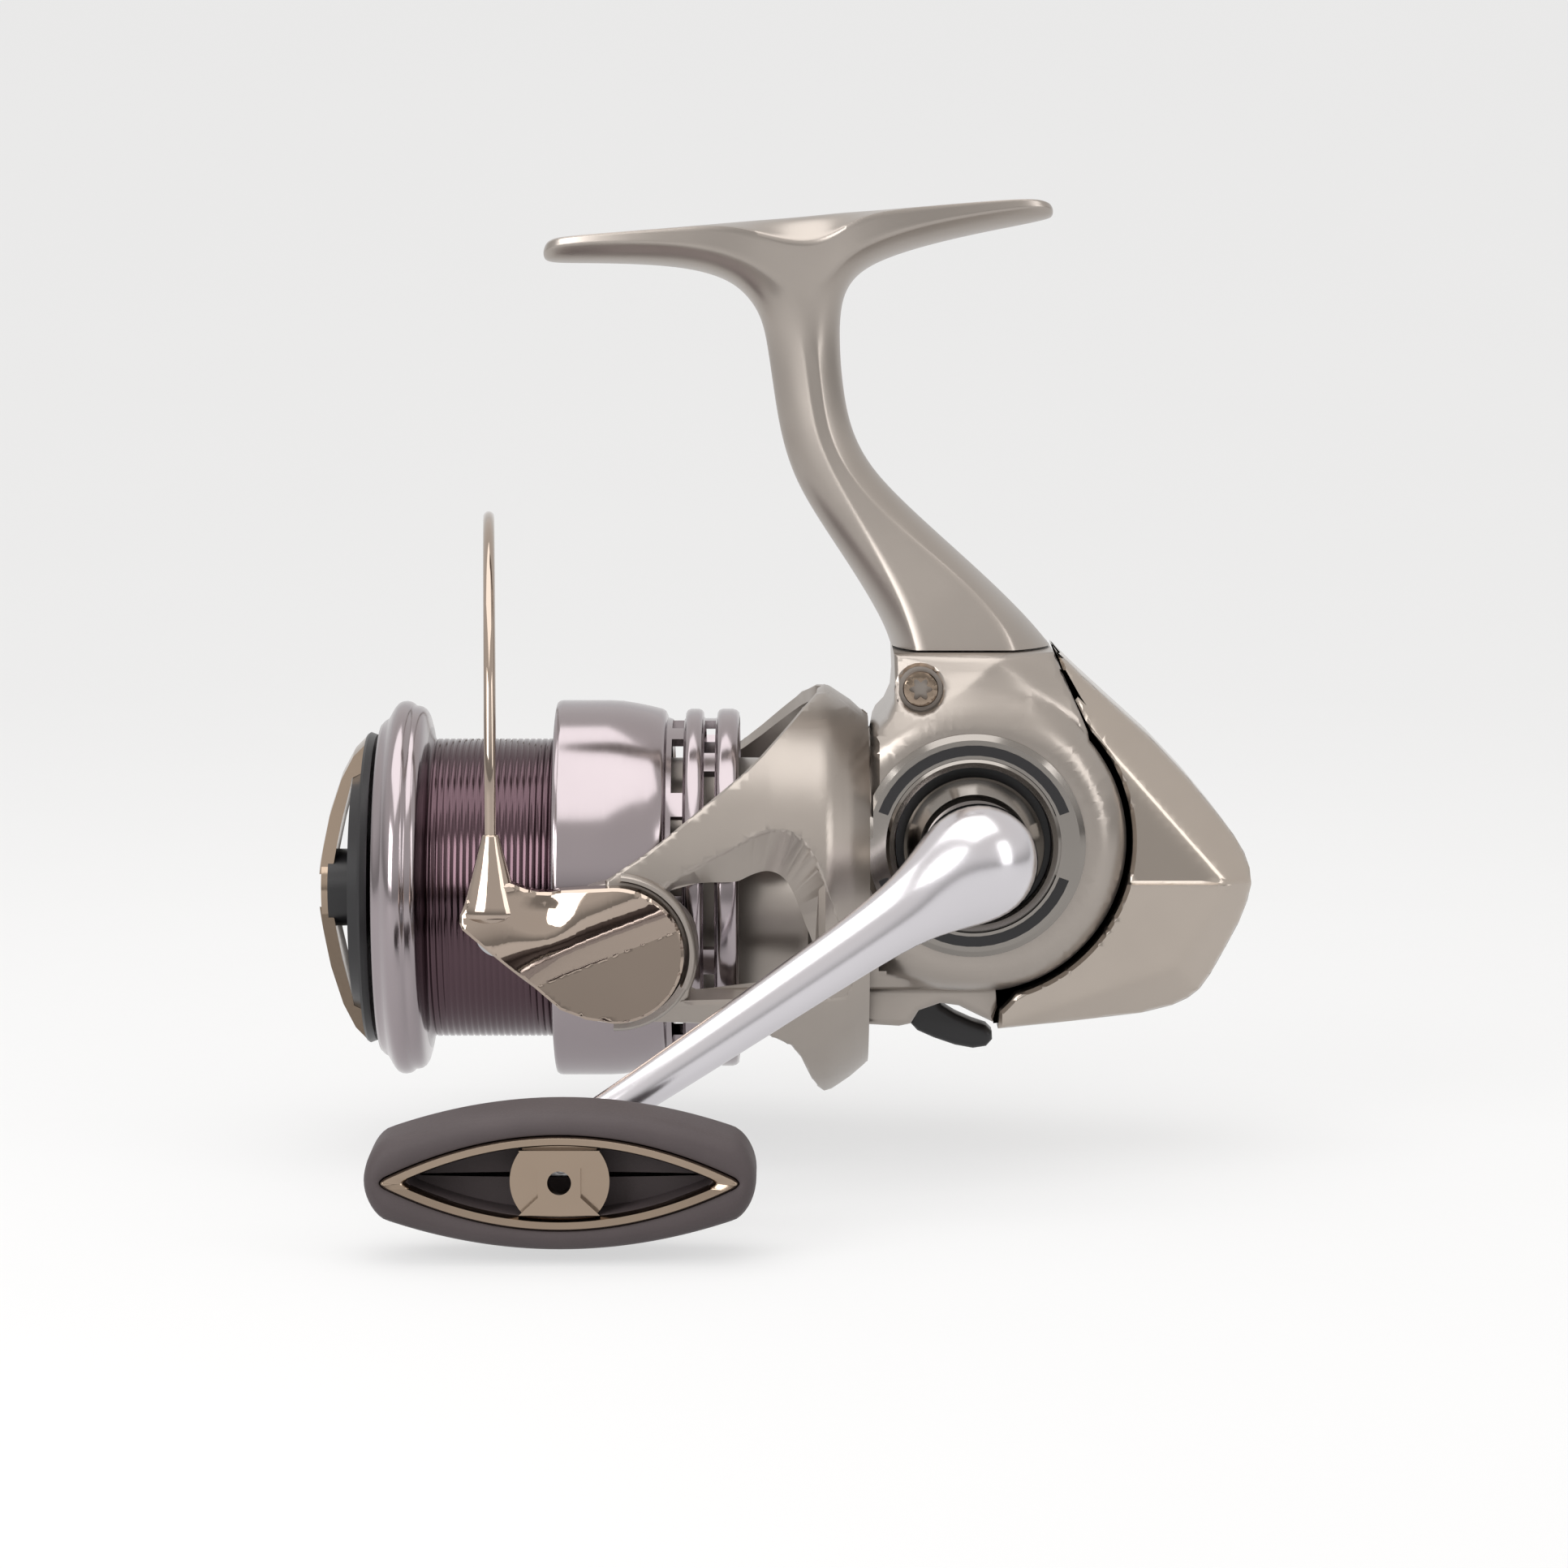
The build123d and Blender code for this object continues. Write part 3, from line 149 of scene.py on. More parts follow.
def add_grain(tree, shader, mm, colours, rough, grain, depth, stretch=(1.0, 1.0, 1.0), patch=9.0):
    """Colour drift over `patch` mm, and a grain in roughness and relief; returns the colour mix."""
    wide = add_node(tree, "ShaderNodeTexNoise", {"Vector": mm, "Scale": 1.0 / patch, "Detail": 2.0})
    shade = add_node(tree, "ShaderNodeMix",
                     {"Factor": wide.outputs["Fac"], "A": colours[0], "B": colours[1]}, data_type="RGBA")
    tree.links.new(shade.outputs["Result"], shader.inputs["Base Color"])
    drawn = add_node(tree, "ShaderNodeMapping", {"Vector": mm, "Scale": stretch})
    fine = add_node(tree, "ShaderNodeTexNoise",
                    {"Vector": drawn.outputs[0], "Scale": 1.0 / grain, "Detail": 3.0})
    spread = add_node(tree, "ShaderNodeMapRange",
                      {"Value": fine.outputs["Fac"], "To Min": rough[0], "To Max": rough[1]})
    tree.links.new(spread.outputs["Result"], shader.inputs["Roughness"])
    relief = add_node(tree, "ShaderNodeBump",
                      {"Strength": 1.0, "Distance": depth / 1000.0, "Height": fine.outputs["Fac"]})
    tree.links.new(relief.outputs[0], shader.inputs["Normal"])
    return shade


def satin_paint(colours):
    """Champagne grey metallic paint, sprayed satin: small flakes give a soft, broken highlight."""
    material, tree, shader, mm = new_finish("Sprayed_satin_metallic_paint", 0.9,
                                            {"Coat Weight": 0.12, "Coat Roughness": 0.3})
    pair = (rgba(colours.satin, 0.93), rgba(colours.satin, 1.05))
    add_grain(tree, shader, mm, pair, (0.27, 0.37), 0.16, 0.004, patch=7.0)
    return material


def gloss_paint(colours):
    """The same paint under a smoother clear coat: tighter reflections on the rear cover."""
    material, tree, shader, mm = new_finish("Sprayed_gloss_metallic_paint", 0.92,
                                            {"Coat Weight": 0.3, "Coat Roughness": 0.12})
    pair = (rgba(colours.gloss, 0.95), rgba(colours.gloss, 1.04))
    add_grain(tree, shader, mm, pair, (0.2, 0.25), 0.16, 0.0008, patch=7.0)
    return material


def anodised_spool(colours):
    """Turned aluminium, bright dipped and anodised, with fine turning rings; darker on the arbor."""
    material, tree, shader, mm = new_finish("Turned_anodised_aluminium", 1.0)
    pair = (rgba(colours.anodised, 0.95), rgba(colours.anodised, 1.04))
    shade = add_grain(tree, shader, mm, pair, (0.13, 0.2), 0.22, 0.0015, stretch=(1.0, 0.02, 0.02))
    parts = add_node(tree, "ShaderNodeSeparateXYZ", {"Vector": mm})
    place_x = parts.outputs["X"]
    behind = add_node(tree, "ShaderNodeMath", {0: place_x, 1: ARBOR_ENDS[0]}, operation="GREATER_THAN")
    before = add_node(tree, "ShaderNodeMath", {0: place_x, 1: ARBOR_ENDS[1]}, operation="LESS_THAN")
    both = add_node(tree, "ShaderNodeMath", {0: behind.outputs[0], 1: before.outputs[0]},
                    operation="MULTIPLY")
    dark = add_node(tree, "ShaderNodeMix", {"Factor": both.outputs[0], "A": shade.outputs["Result"],
                                            "B": rgba(colours.arbor)}, data_type="RGBA")
    tree.links.new(dark.outputs["Result"], shader.inputs["Base Color"])
    return material


def bronze_plate(colours):
    """Bronze-tinted plating on polished aluminium: clear reflections with a faint polishing haze."""
    material, tree, shader, mm = new_finish("Polished_bronze_plate", 1.0)
    pair = (rgba(colours.bronze, 0.94), rgba(colours.bronze, 1.05))
    add_grain(tree, shader, mm, pair, (0.12, 0.2), 0.3, 0.001)
    return material


def champagne_chrome(colours):
    """Champagne chrome over polished zinc: a true mirror, with only the slightest haze and buffing lines."""
    material, tree, shader, mm = new_finish("Mirror_champagne_chrome", 1.0)
    pair = (rgba(colours.chrome, 0.97), rgba(colours.chrome, 1.03))
    add_grain(tree, shader, mm, pair, (0.045, 0.08), 0.5, 0.0004)
    return material


def gunmetal(colours):
    """Dark gunmetal plating, polished on the lathe: glossy rings with a fine circular haze."""
    material, tree, shader, mm = new_finish("Polished_gunmetal", 1.0)
    pair = (rgba(colours.gunmetal, 0.92), rgba(colours.gunmetal, 1.05))
    add_grain(tree, shader, mm, pair, (0.1, 0.17), 0.3, 0.001, stretch=(1.0, 3.0, 1.0))
    return material


def satin_silver(colours):
    """Cast aluminium crank, tumbled and satin anodised: bright with a broad soft highlight."""
    material, tree, shader, mm = new_finish("Satin_anodised_aluminium", 1.0)
    pair = (rgba(colours.silver, 0.97), rgba(colours.silver, 1.03))
    add_grain(tree, shader, mm, pair, (0.19, 0.27), 0.2, 0.003)
    return material


def black_plastic(colours):
    """Moulded glass-filled nylon: near black, with a fine eroded texture from the mould. It also colours the
    sheet of painted shade under the cover joint.
    """
    material, tree, shader, mm = new_finish("Moulded_black_nylon_and_painted_shade", 0.0)
    pair = (rgba(colours.black, 0.85), rgba(colours.black, 1.3))
    add_grain(tree, shader, mm, pair, (0.3, 0.42), 0.25, 0.006)
    return material


def knob_rubber(colours):
    """Moulded thermoplastic rubber: matte brown grey with a fine spark-eroded grain."""
    material, tree, shader, mm = new_finish("Moulded_soft_rubber", 0.0, {"Specular IOR Level": 0.35})
    pair = (rgba(colours.rubber, 0.9), rgba(colours.rubber, 1.12))
    add_grain(tree, shader, mm, pair, (0.55, 0.72), 0.28, 0.02, patch=5.0)
    return material


def turned_steel(colours):
    """Stainless steel turned and ground: fine lathe lines."""
    material, tree, shader, mm = new_finish("Turned_stainless_steel", 1.0)
    pair = (rgba(colours.steel, 0.92), rgba(colours.steel, 1.05))
    add_grain(tree, shader, mm, pair, (0.16, 0.28), 0.25, 0.003, stretch=(0.4, 2.5, 1.0))
    return material


def machined_brass(colours):
    """Cut brass: warm yellow with fine tool marks."""
    material, tree, shader, mm = new_finish("Machined_brass", 1.0)
    pair = (rgba(colours.brass, 0.92), rgba(colours.brass, 1.05))
    add_grain(tree, shader, mm, pair, (0.2, 0.3), 0.25, 0.003)
    return material


def cast_zinc(colours):
    """Die-cast zinc as it leaves the tool: grey with a soft orange-peel skin."""
    material, tree, shader, mm = new_finish("Die_cast_zinc", 0.95)
    pair = (rgba(colours.zinc, 0.9), rgba(colours.zinc, 1.05))
    add_grain(tree, shader, mm, pair, (0.33, 0.46), 0.5, 0.012)
    return material


def white_acetal(colours):
    """Moulded acetal: slightly waxy off-white."""
    material, tree, shader, mm = new_finish("Moulded_white_acetal", 0.0, {"IOR": 1.48})
    pair = (rgba(colours.white, 0.95), rgba(colours.white, 1.02))
    add_grain(tree, shader, mm, pair, (0.35, 0.48), 0.4, 0.005)
    return material


def pressed_felt(colours):
    """Pressed wool felt between steel plates: matte and fibrous."""
    material, tree, shader, mm = new_finish("Pressed_wool_felt", 0.0, {"Specular IOR Level": 0.2})
    pair = (rgba(colours.felt, 0.8), rgba(colours.felt, 1.15))
    add_grain(tree, shader, mm, pair, (0.8, 0.95), 0.3, 0.08)
    return material


FINISHES = {
    "satin_alloy": satin_paint, "gloss_cover": gloss_paint, "purple_anodised": anodised_spool,
    "bronze_plate": bronze_plate, "champagne_chrome": champagne_chrome, "gunmetal": gunmetal,
    "silver_handle": satin_silver, "black_plastic": black_plastic, "knob_rubber": knob_rubber,
    "steel": turned_steel, "brass": machined_brass, "zinc_alloy": cast_zinc, "white_plastic": white_acetal,
    "drag_felt": pressed_felt,
}
MADE = {}


def finish_for(slot):
    """Material of a slot, made on first use."""
    if slot not in MADE:
        MADE[slot] = FINISHES[slot](bpy.context.scene.reel_colours)
    return MADE[slot]


# ---------------------------------------------------------------- shape helpers
def place(x, y, z):
    """Working-axes millimetres to seat-frame metres."""
    return (Vector((x, y, z)) + SEAT) / 1000


def finish_piece(bm, name, body, nodes=(), slot=None, sharp=38.0):
    """Merge, orient, move to the seat frame, smooth, and hang the piece on its body."""
    bmesh.ops.remove_doubles(bm, verts=bm.verts, dist=0.004)
    bmesh.ops.recalc_face_normals(bm, faces=bm.faces)
    bmesh.ops.translate(bm, vec=SEAT, verts=bm.verts)
    bmesh.ops.scale(bm, vec=(0.001, 0.001, 0.001), verts=bm.verts)
    mesh = bpy.data.meshes.new(name)
    bm.to_mesh(mesh)
    bm.free()
    for face in mesh.polygons:
        face.use_smooth = True
    mesh.set_sharp_from_angle(angle=radians(sharp))
    piece = bpy.data.objects.new(name, mesh)
    bpy.context.scene.collection.objects.link(piece)
    if body:
        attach(piece, body)
        if nodes:
            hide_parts(*nodes)
        mesh.materials.append(finish_for(slot))
    return piece


def sheet(bm, rows):
    """A grid whose corners are moved to the given rows of points."""
    across, along = len(rows[0]), len(rows)
    grid = bmesh.ops.create_grid(bm, x_segments=across - 1, y_segments=along - 1, size=1.0)
    for v in grid["verts"]:
        i = round((v.co.x + 1) / 2 * (across - 1))
        j = round((v.co.y + 1) / 2 * (along - 1))
        v.co = rows[j][i]


def mirror_y(bm):
    """Add the other half, across the middle plane."""
    bmesh.ops.mirror(bm, geom=bm.verts[:] + bm.edges[:] + bm.faces[:], matrix=Matrix.Identity(4),
                     merge_dist=0.002, axis="Y")


def subdivision(piece, levels):
    """Add a subdivision of the same level in the view and in a render."""
    smooth = piece.modifiers.new("Subdivision", "SUBSURF")
    smooth.levels = smooth.render_levels = levels
    return smooth


def crease(bm, weight, test):
    """Hold the edges that pass the test a little sharper than the subdivision would."""
    layer = bm.edges.layers.float.get("crease_edge") or bm.edges.layers.float.new("crease_edge")
    for edge in bm.edges:
        if test(edge):
            edge[layer] = weight


def arc(radius, start, stop, count, x=0.0, z=DRIVE_Z):
    """Points of an arc about an axis along Y, as (X, Z)."""
    return [(x + radius * cos(radians(start + (stop - start) * i / (count - 1))),
             z + radius * sin(radians(start + (stop - start) * i / (count - 1)))) for i in range(count)]


def eased(points, parts=3):
    """Run a smooth closed curve through the points, adding more between them."""
    count, curve = len(points), []
    for i in range(count):
        a, b, c, d = [Vector(points[(i + k) % count]) for k in (-1, 0, 1, 2)]
        for j in range(parts):
            t = j / parts
            bend = (2 * a - 5 * b + 4 * c - d) * t * t
            twist = (3 * b - a - 3 * c + d) * t ** 3
            curve.append(tuple(0.5 * (2 * b + (c - a) * t + bend + twist)))
    return curve


def turned(bm, profile, steps=144):
    """Turn an (x, radius) profile about the spool axis."""
    verts = [bm.verts.new((x, 0.0, r)) for x, r in profile]
    edges = [bm.edges.new((a, b)) for a, b in zip(verts, verts[1:])]
    bmesh.ops.spin(bm, geom=verts + edges, axis=(1, 0, 0), cent=(0, 0, 0), angle=2 * pi, steps=steps,
                   use_merge=True)


def smooth_step(value, low, high):
    """Rise from 0 to 1 between low and high, level at both ends."""
    t = min(max((value - low) / (high - low), 0.0), 1.0)
    return t * t * (3 - 2 * t)


def soft_over(distance, spread=0.3):
    """Zero below a line and rising past it, with the corner rounded."""
    return 0.5 * (distance + sqrt(distance * distance + spread * spread)) - 0.5 * spread


def beyond(x, z, a, b):
    """Distance of a point past the line from a to b, counted to the left of it."""
    length = hypot(b[0] - a[0], b[1] - a[1])
    return ((b[0] - a[0]) * (z - a[1]) - (b[1] - a[1]) * (x - a[0])) / length


def edge_distance(x, z, loops):
    """Distance from a point to the nearest of the closed outlines."""
    best = 1e9
    for points in loops:
        for (ax, az), (bx, bz) in zip(points, points[1:] + points[:1]):
            dx, dz = bx - ax, bz - az
            t = min(max(((x - ax) * dx + (z - az) * dz) / (dx * dx + dz * dz + 1e-12), 0.0), 1.0)
            best = min(best, hypot(x - ax - t * dx, z - az - t * dz))
    return best


def panel(bm, outline, holes=(), lines=(), pitch=0.9, rim=0.45):
    """Flat net in the XZ plane inside an outline: cut on a grid, along given lines and beside its rims."""
    loops = [outline] + list(holes)
    edges = []
    for points in loops:
        verts = [bm.verts.new((x, 0.0, z)) for x, z in points]
        edges += [bm.edges.new((a, b)) for a, b in zip(verts, verts[1:] + verts[:1])]
    bmesh.ops.triangle_fill(bm, use_beauty=True, use_dissolve=False, edges=edges, normal=(0, -1, 0))
    if rim:
        bmesh.ops.inset_region(bm, faces=bm.faces[:], use_boundary=True, use_even_offset=True,
                               thickness=rim)
    xs, zs = [p[0] for p in outline], [p[1] for p in outline]
    cuts = [((x, 0, 0), (1, 0, 0)) for x in steps(min(xs), max(xs), pitch)]
    cuts += [((0, 0, z), (0, 0, 1)) for z in steps(min(zs), max(zs), pitch)]
    for a, b in lines:
        normal = Vector((a[1] - b[1], 0, b[0] - a[0])).normalized()
        cuts += [(Vector((a[0], 0, a[1])) + normal * shift, normal) for shift in (-0.3, 0.0, 0.3)]
    for where, normal in cuts:
        bmesh.ops.bisect_plane(bm, geom=bm.verts[:] + bm.edges[:] + bm.faces[:], dist=1e-5, plane_co=where,
                               plane_no=normal)
    bmesh.ops.remove_doubles(bm, verts=bm.verts, dist=0.01)
    return loops


def steps(low, high, pitch):
    """Evenly spaced places between low and high, half a pitch in from low."""
    count = int((high - low) / pitch)
    return [low + pitch * (i + 0.5) for i in range(count)]


def rounded_plate(outline, half, edge, segments):
    """Plate across the middle plane, with the rims of both its faces rounded."""
    bm = bmesh.new()
    face = bm.faces.new([bm.verts.new((x, -half, z)) for x, z in outline])
    grown = bmesh.ops.extrude_face_region(bm, geom=[face])
    moved = [item for item in grown["geom"] if isinstance(item, bmesh.types.BMVert)]
    bmesh.ops.translate(bm, vec=(0, 2 * half, 0), verts=moved)
    rims = [e for e in bm.edges if abs(e.verts[0].co.y - e.verts[1].co.y) < 0.01]
    bmesh.ops.bevel(bm, geom=rims, offset=edge, offset_type="OFFSET", segments=segments, profile=0.5,
                    affect="EDGES", material=-1)
    return bm


def wall_back(bm, depth_of):
    """Turn the open rims back into the piece: depth_of(x, z) gives the Y they reach."""
    rims = [e for e in bm.edges if e.is_boundary]
    grown = bmesh.ops.extrude_edge_only(bm, edges=rims)
    for item in grown["geom"]:
        if isinstance(item, bmesh.types.BMVert):
            item.co.y = depth_of(item.co.x, item.co.z)


# ---------------------------------------------------------------- pieces
class REEL_OT_finishes(bpy.types.Operator):
    """Gives every carried-over piece its finish"""
    bl_idname = "reel.finishes"
    bl_label = "Finishes"

    def execute(self, context):
        for part in frame["record"]["subparts"]:
            node = frame["nodes"][part["node"]]
            node.data.materials.clear()
            node.data.materials.append(finish_for(part["material_slot"]))
        return {"FINISHED"}


# One row per station, tip first: edge (x, z, half width), rib z, facet (x, z, half width),
# flank (x, z, half width) and keel (x, z).
FOOT_FRONT = [
    ((-51.2, 77.6, 2.6), 77.9, (-51.5, 76.9, 2.8), (-51.6, 76.3, 1.9), (-51.6, 75.9)),
    ((-50.4, 78.4, 4.2), 78.6, (-50.4, 77.6, 4.4), (-50.0, 76.0, 3.2), (-50.0, 75.5)),
    ((-48.6, 78.9, 5.2), 78.9, (-48.2, 78.0, 5.4), (-47.0, 76.0, 3.8), (-46.5, 75.5)),
    ((-43.0, 79.35, 5.9), 79.35, (-43.0, 78.2, 6.0), (-41.5, 76.0, 4.2), (-41.0, 75.4)),
    ((-36.0, 79.9, 6.5), 79.9, (-36.0, 78.1, 6.5), (-35.0, 75.9, 4.5), (-34.5, 74.9)),
    ((-29.6, 80.4, 7.0), 80.45, (-30.0, 77.2, 6.8), (-30.0, 74.8, 4.7), (-29.8, 73.7)),
    ((-25.4, 79.4, 6.7), 80.8, (-25.4, 75.3, 6.2), (-26.9, 73.0, 4.2), (-27.2, 71.8)),
    ((-21.9, 78.3, 6.2), 81.05, (-21.7, 72.4, 4.7), (-24.6, 70.0, 3.3), (-25.4, 69.0)),
]
FOOT_REAR = [
    ((-18.2, 78.3, 6.2), 81.4, (-18.5, 71.8, 4.7), (-16.2, 71.4, 3.3), (-15.4, 71.3)),
    ((-15.4, 80.0, 6.7), 81.7, (-15.6, 76.2, 6.2), (-14.2, 74.9, 4.2), (-13.7, 74.1)),
    ((-12.2, 81.85, 7.0), 81.9, (-11.6, 78.5, 6.8), (-10.6, 77.0, 4.7), (-10.2, 75.9)),
    ((-5.0, 82.5, 6.5), 82.5, (-5.3, 80.5, 6.6), (-5.0, 78.6, 4.5), (-4.8, 77.6)),
    ((1.5, 83.05, 5.9), 83.05, (1.5, 81.7, 6.0), (1.5, 80.0, 4.2), (1.3, 79.0)),
    ((6.6, 83.4, 5.3), 83.4, (6.6, 82.4, 5.4), (6.4, 80.9, 3.8), (6.0, 79.9)),
    ((8.8, 83.1, 4.2), 83.2, (9.0, 82.4, 4.4), (9.1, 81.2, 3.2), (9.0, 80.7)),
    ((9.7, 82.5, 2.6), 82.6, (9.9, 82.1, 2.8), (10.0, 81.5, 1.9), (10.0, 81.1)),
]
STEM_ROWS = [    # front, near-front ridge, near-rear ridge and rear as (x, z), and the half width
    ((-24.4, 65.5), (-20.3, 67.0), (-18.6, 66.6), (-15.8, 66.0), 4.1),
    ((-23.7, 60.5), (-19.6, 61.0), (-18.0, 60.6), (-15.4, 61.0), 3.9),
    ((-22.8, 54.8), (-18.7, 55.2), (-17.2, 55.4), (-14.5, 56.0), 4.1),
    ((-21.1, 49.5), (-16.4, 50.1), (-14.9, 50.6), (-12.3, 51.6), 4.7),
    ((-18.1, 44.6), (-13.3, 44.8), (-10.2, 45.4), (-8.4, 47.6), 5.6),
    ((-15.2, 40.3), (-10.8, 40.4), (-5.0, 41.2), (-3.2, 42.8), 6.6),
    ((-12.2, 35.6), (-8.4, 35.6), (0.6, 36.6), (2.6, 37.5), 8.0),
    ((-10.2, 31.9), (-7.2, 31.9), (4.2, 32.2), (7.2, 32.9), 9.0),
    ((-9.5, 29.75), (-6.7, 29.75), (4.9, 29.75), (9.7, 29.75), 9.5),
]


class REEL_OT_leg(bpy.types.Operator):
    """Leg and foot: one cast limb with flat side faces, soft ridges and a notched seat"""
    bl_idname = "reel.leg"
    bl_label = "Leg and foot"

    def execute(self, context):
        bm = bmesh.new()
        foot = FOOT_FRONT + FOOT_REAR

        def top_row(edge, rib, facet):
            return [(edge[0], 0, rib), (edge[0], -edge[2] * 0.45, rib), (edge[0], -edge[2], edge[1]),
                    (facet[0], -facet[2], facet[1])]

        def under_row(facet, flank, keel):
            return [(facet[0], -facet[2], facet[1]), (flank[0], -flank[2], flank[1]), (keel[0], 0, keel[1])]

        sheet(bm, [top_row(edge, rib, facet) for edge, rib, facet, flank, keel in foot])
        for half in (FOOT_FRONT, FOOT_REAR):
            sheet(bm, [under_row(facet, flank, keel) for edge, rib, facet, flank, keel in half])
        front, rear = under_row(*FOOT_FRONT[-1][2:]), under_row(*FOOT_REAR[0][2:])
        rows = [front[::-1] + rear]
        for nose, left, right, back, half in STEM_ROWS:
            flank_l = Vector((left[0] + 0.62 * (nose[0] - left[0]), -0.72 * half,
                              left[1] + 0.62 * (nose[1] - left[1])))
            flank_r = Vector((right[0] + 0.62 * (back[0] - right[0]), -0.72 * half,
                              right[1] + 0.62 * (back[1] - right[1])))
            nose_x = 1.5 * nose[0] - 0.5 * flank_l.x
            back_x = 1.5 * back[0] - 0.5 * flank_r.x
            rows.append([(nose_x, 0, nose[1]), flank_l, (left[0], -half, left[1]),
                         (right[0], -half, right[1]), flank_r, (back_x, 0, back[1])])
        sheet(bm, rows)
        mirror_y(bm)
        bmesh.ops.remove_doubles(bm, verts=bm.verts, dist=0.01)
        for end in (-51.0, 9.5):
            rim = [e for e in bm.edges if e.is_boundary and abs(e.verts[0].co.x - end) < 1.2
                   and e.verts[0].co.z > 70]
            bmesh.ops.contextual_create(bm, geom=rim)
        same = 0.02

        def at(v, x, z, half):
            return abs(v.x - x) < same and abs(abs(v.y) - half) < same and abs(v.z - z) < same

        def at_stem(v, left, right, half):
            beside = abs(v.x - left[0]) < same or abs(v.x - right[0]) < same
            return beside and abs(abs(v.y) - half) < same

        def ridge(edge):
            a, b = edge.verts[0].co, edge.verts[1].co
            on_facet = all(any(at(v, *row[2]) for row in foot) for v in (a, b))
            on_edge = all(any(at(v, *row[0]) for row in foot) for v in (a, b))
            on_stem = all(any(at_stem(v, row[1], row[2], row[4]) for row in STEM_ROWS) for v in (a, b))
            return on_facet or on_edge or (on_stem and abs(a.z - b.z) > 1.0)

        crease(bm, 0.62, ridge)
        crease(bm, 1.0, lambda e: e.is_boundary)
        leg = finish_piece(bm, "leg_and_foot", "frame", ["body_frame"], "satin_alloy", sharp=75.0)
        subdivision(leg, 3)
        return {"FINISHED"}


SEAM_TOP = (14.0, 20.3)              # where the straight joint meets the round one
ROUND_JOINT_R = 18.4                 # round joint between side cover and rear cover, about the drive axis
SHAFT_HOLE_R = 9.3
SCREW_WELL = (-6.2, 25.4)
SCREW_LOW = (1.0, -11.8)
ROTOR_BORE = [(-16.0, 20.9), (-14.6, 20.2), (-12.3, 19.4), (-11.8, 19.4)]
OUTER_LINE = [(13.2, 26.6), (17.6, 22.6), (21.8, 18.8), (26.3, 14.0), (29.6, 10.0), (31.6, 7.4),
              (32.8, 5.4), (33.4, 3.6), (33.5, 1.8), (33.1, -0.4), (32.2, -3.0), (30.6, -6.2), (28.9, -9.4),
              (27.6, -11.2), (26.2, -12.4), (24.4, -13.3), (20.6, -14.2), (12.0, -14.9)]
COVER_TOP = [(-15.4, -10.9), (-15.4, 14.2), (-11.8, 20.2), (-10.1, 22.0), (-9.35, 23.8), (-9.2, 26.0),
             (-9.35, 29.5), (9.8, 29.5)]


def boss_height(x, z):
    """How far the cover stands out: a round boss that falls to a flat face on the front and top."""
    r = hypot(x, z - DRIVE_Z)
    angle = degrees(atan2(z - DRIVE_Z, x))
    away = smooth_step(abs(angle - 128.0) if angle > -52 else abs(angle + 232.0), 38.0, 96.0)
    steep = [(0.0, 16.4), (14.4, 16.38), (15.4, 16.2), (16.4, 15.6), (17.3, 14.6), (18.0, 13.4),
             (18.6, 11.8), (60.0, 11.0)]
    mild = [(0.0, 16.4), (14.2, 16.35), (15.4, 15.95), (17.0, 15.1), (18.6, 14.3), (20.2, 13.6),
            (22.0, 13.15), (24.0, 13.0), (60.0, 13.0)]
    return along_table(mild, r) * (1 - away) + along_table(steep, r) * away


def along_table(table, value):
    """Straight-line reading of a short table of (position, height)."""
    for (p0, h0), (p1, h1) in zip(table, table[1:]):
        if value <= p1:
            return h0 + (h1 - h0) * (value - p0) / (p1 - p0)
    return table[-1][1]


def cover_height(x, z):
    """Side face of the housing in front of the round joint."""
    height = boss_height(x, z)
    height -= 0.34 * soft_over(-beyond(x, z, (3.9, 29.3), (-11.1, 18.7)))
    height -= 0.80 * soft_over(beyond(x, z, (3.4, 28.4), (12.8, 21.6)), 0.8)
    height -= 0.55 * soft_over(-9.4 - z, 0.8)
    return max(height, 9.0)


def rear_height(x, z):
    """Side face of the rear cover: two facets that meet in a stepped crease, with a sloping border."""
    upper = 13.0 - 0.085 * (z - 2.2)
    lower = 13.55 - 0.05 * (2.2 - z)
    height = upper + (lower - upper) * smooth_step(2.35 - z, 0.0, 0.3)
    sides = (((29.9, 2.6), (14.0, 20.5)), ((24.4, -7.9), (30.0, 1.2)), ((12.0, -12.2), (24.4, -7.9)))
    border = max(-beyond(x, z, a, b) for a, b in sides)
    height -= 0.9 * soft_over(border, 0.5)
    return max(height, 6.0)


def clear_of_rotor(x, y, z):
    """Pull a half width in where the turning rotor sweeps past the front of the housing."""
    if x > -11.8:
        return y
    room = along_table(ROTOR_BORE, x)
    return min(y, sqrt(max(room * room - z * z, 0.04)))


def rounded(height, x, z, loops, edge):
    """Lower the surface close to its rims, as a cast edge is rounded."""
    gap = edge_distance(x, z, loops)
    if gap >= edge:
        return height
    t = 1 - gap / edge
    return height - edge * (1 - sqrt(max(0.0, 1 - t * t)))


def side_shell(bm, side, outline, holes, lines, height_of, edge, back_of):
    """Side wall over an outline: its face follows height_of, and its rims turn in as far as back_of."""
    loops = panel(bm, outline, holes, lines, pitch=0.95)
    for v in bm.verts:
        x, z = v.co.x, v.co.z
        v.co.y = side * clear_of_rotor(x, rounded(height_of(x, z), x, z, loops, edge), z)
    wall_back(bm, back_of)


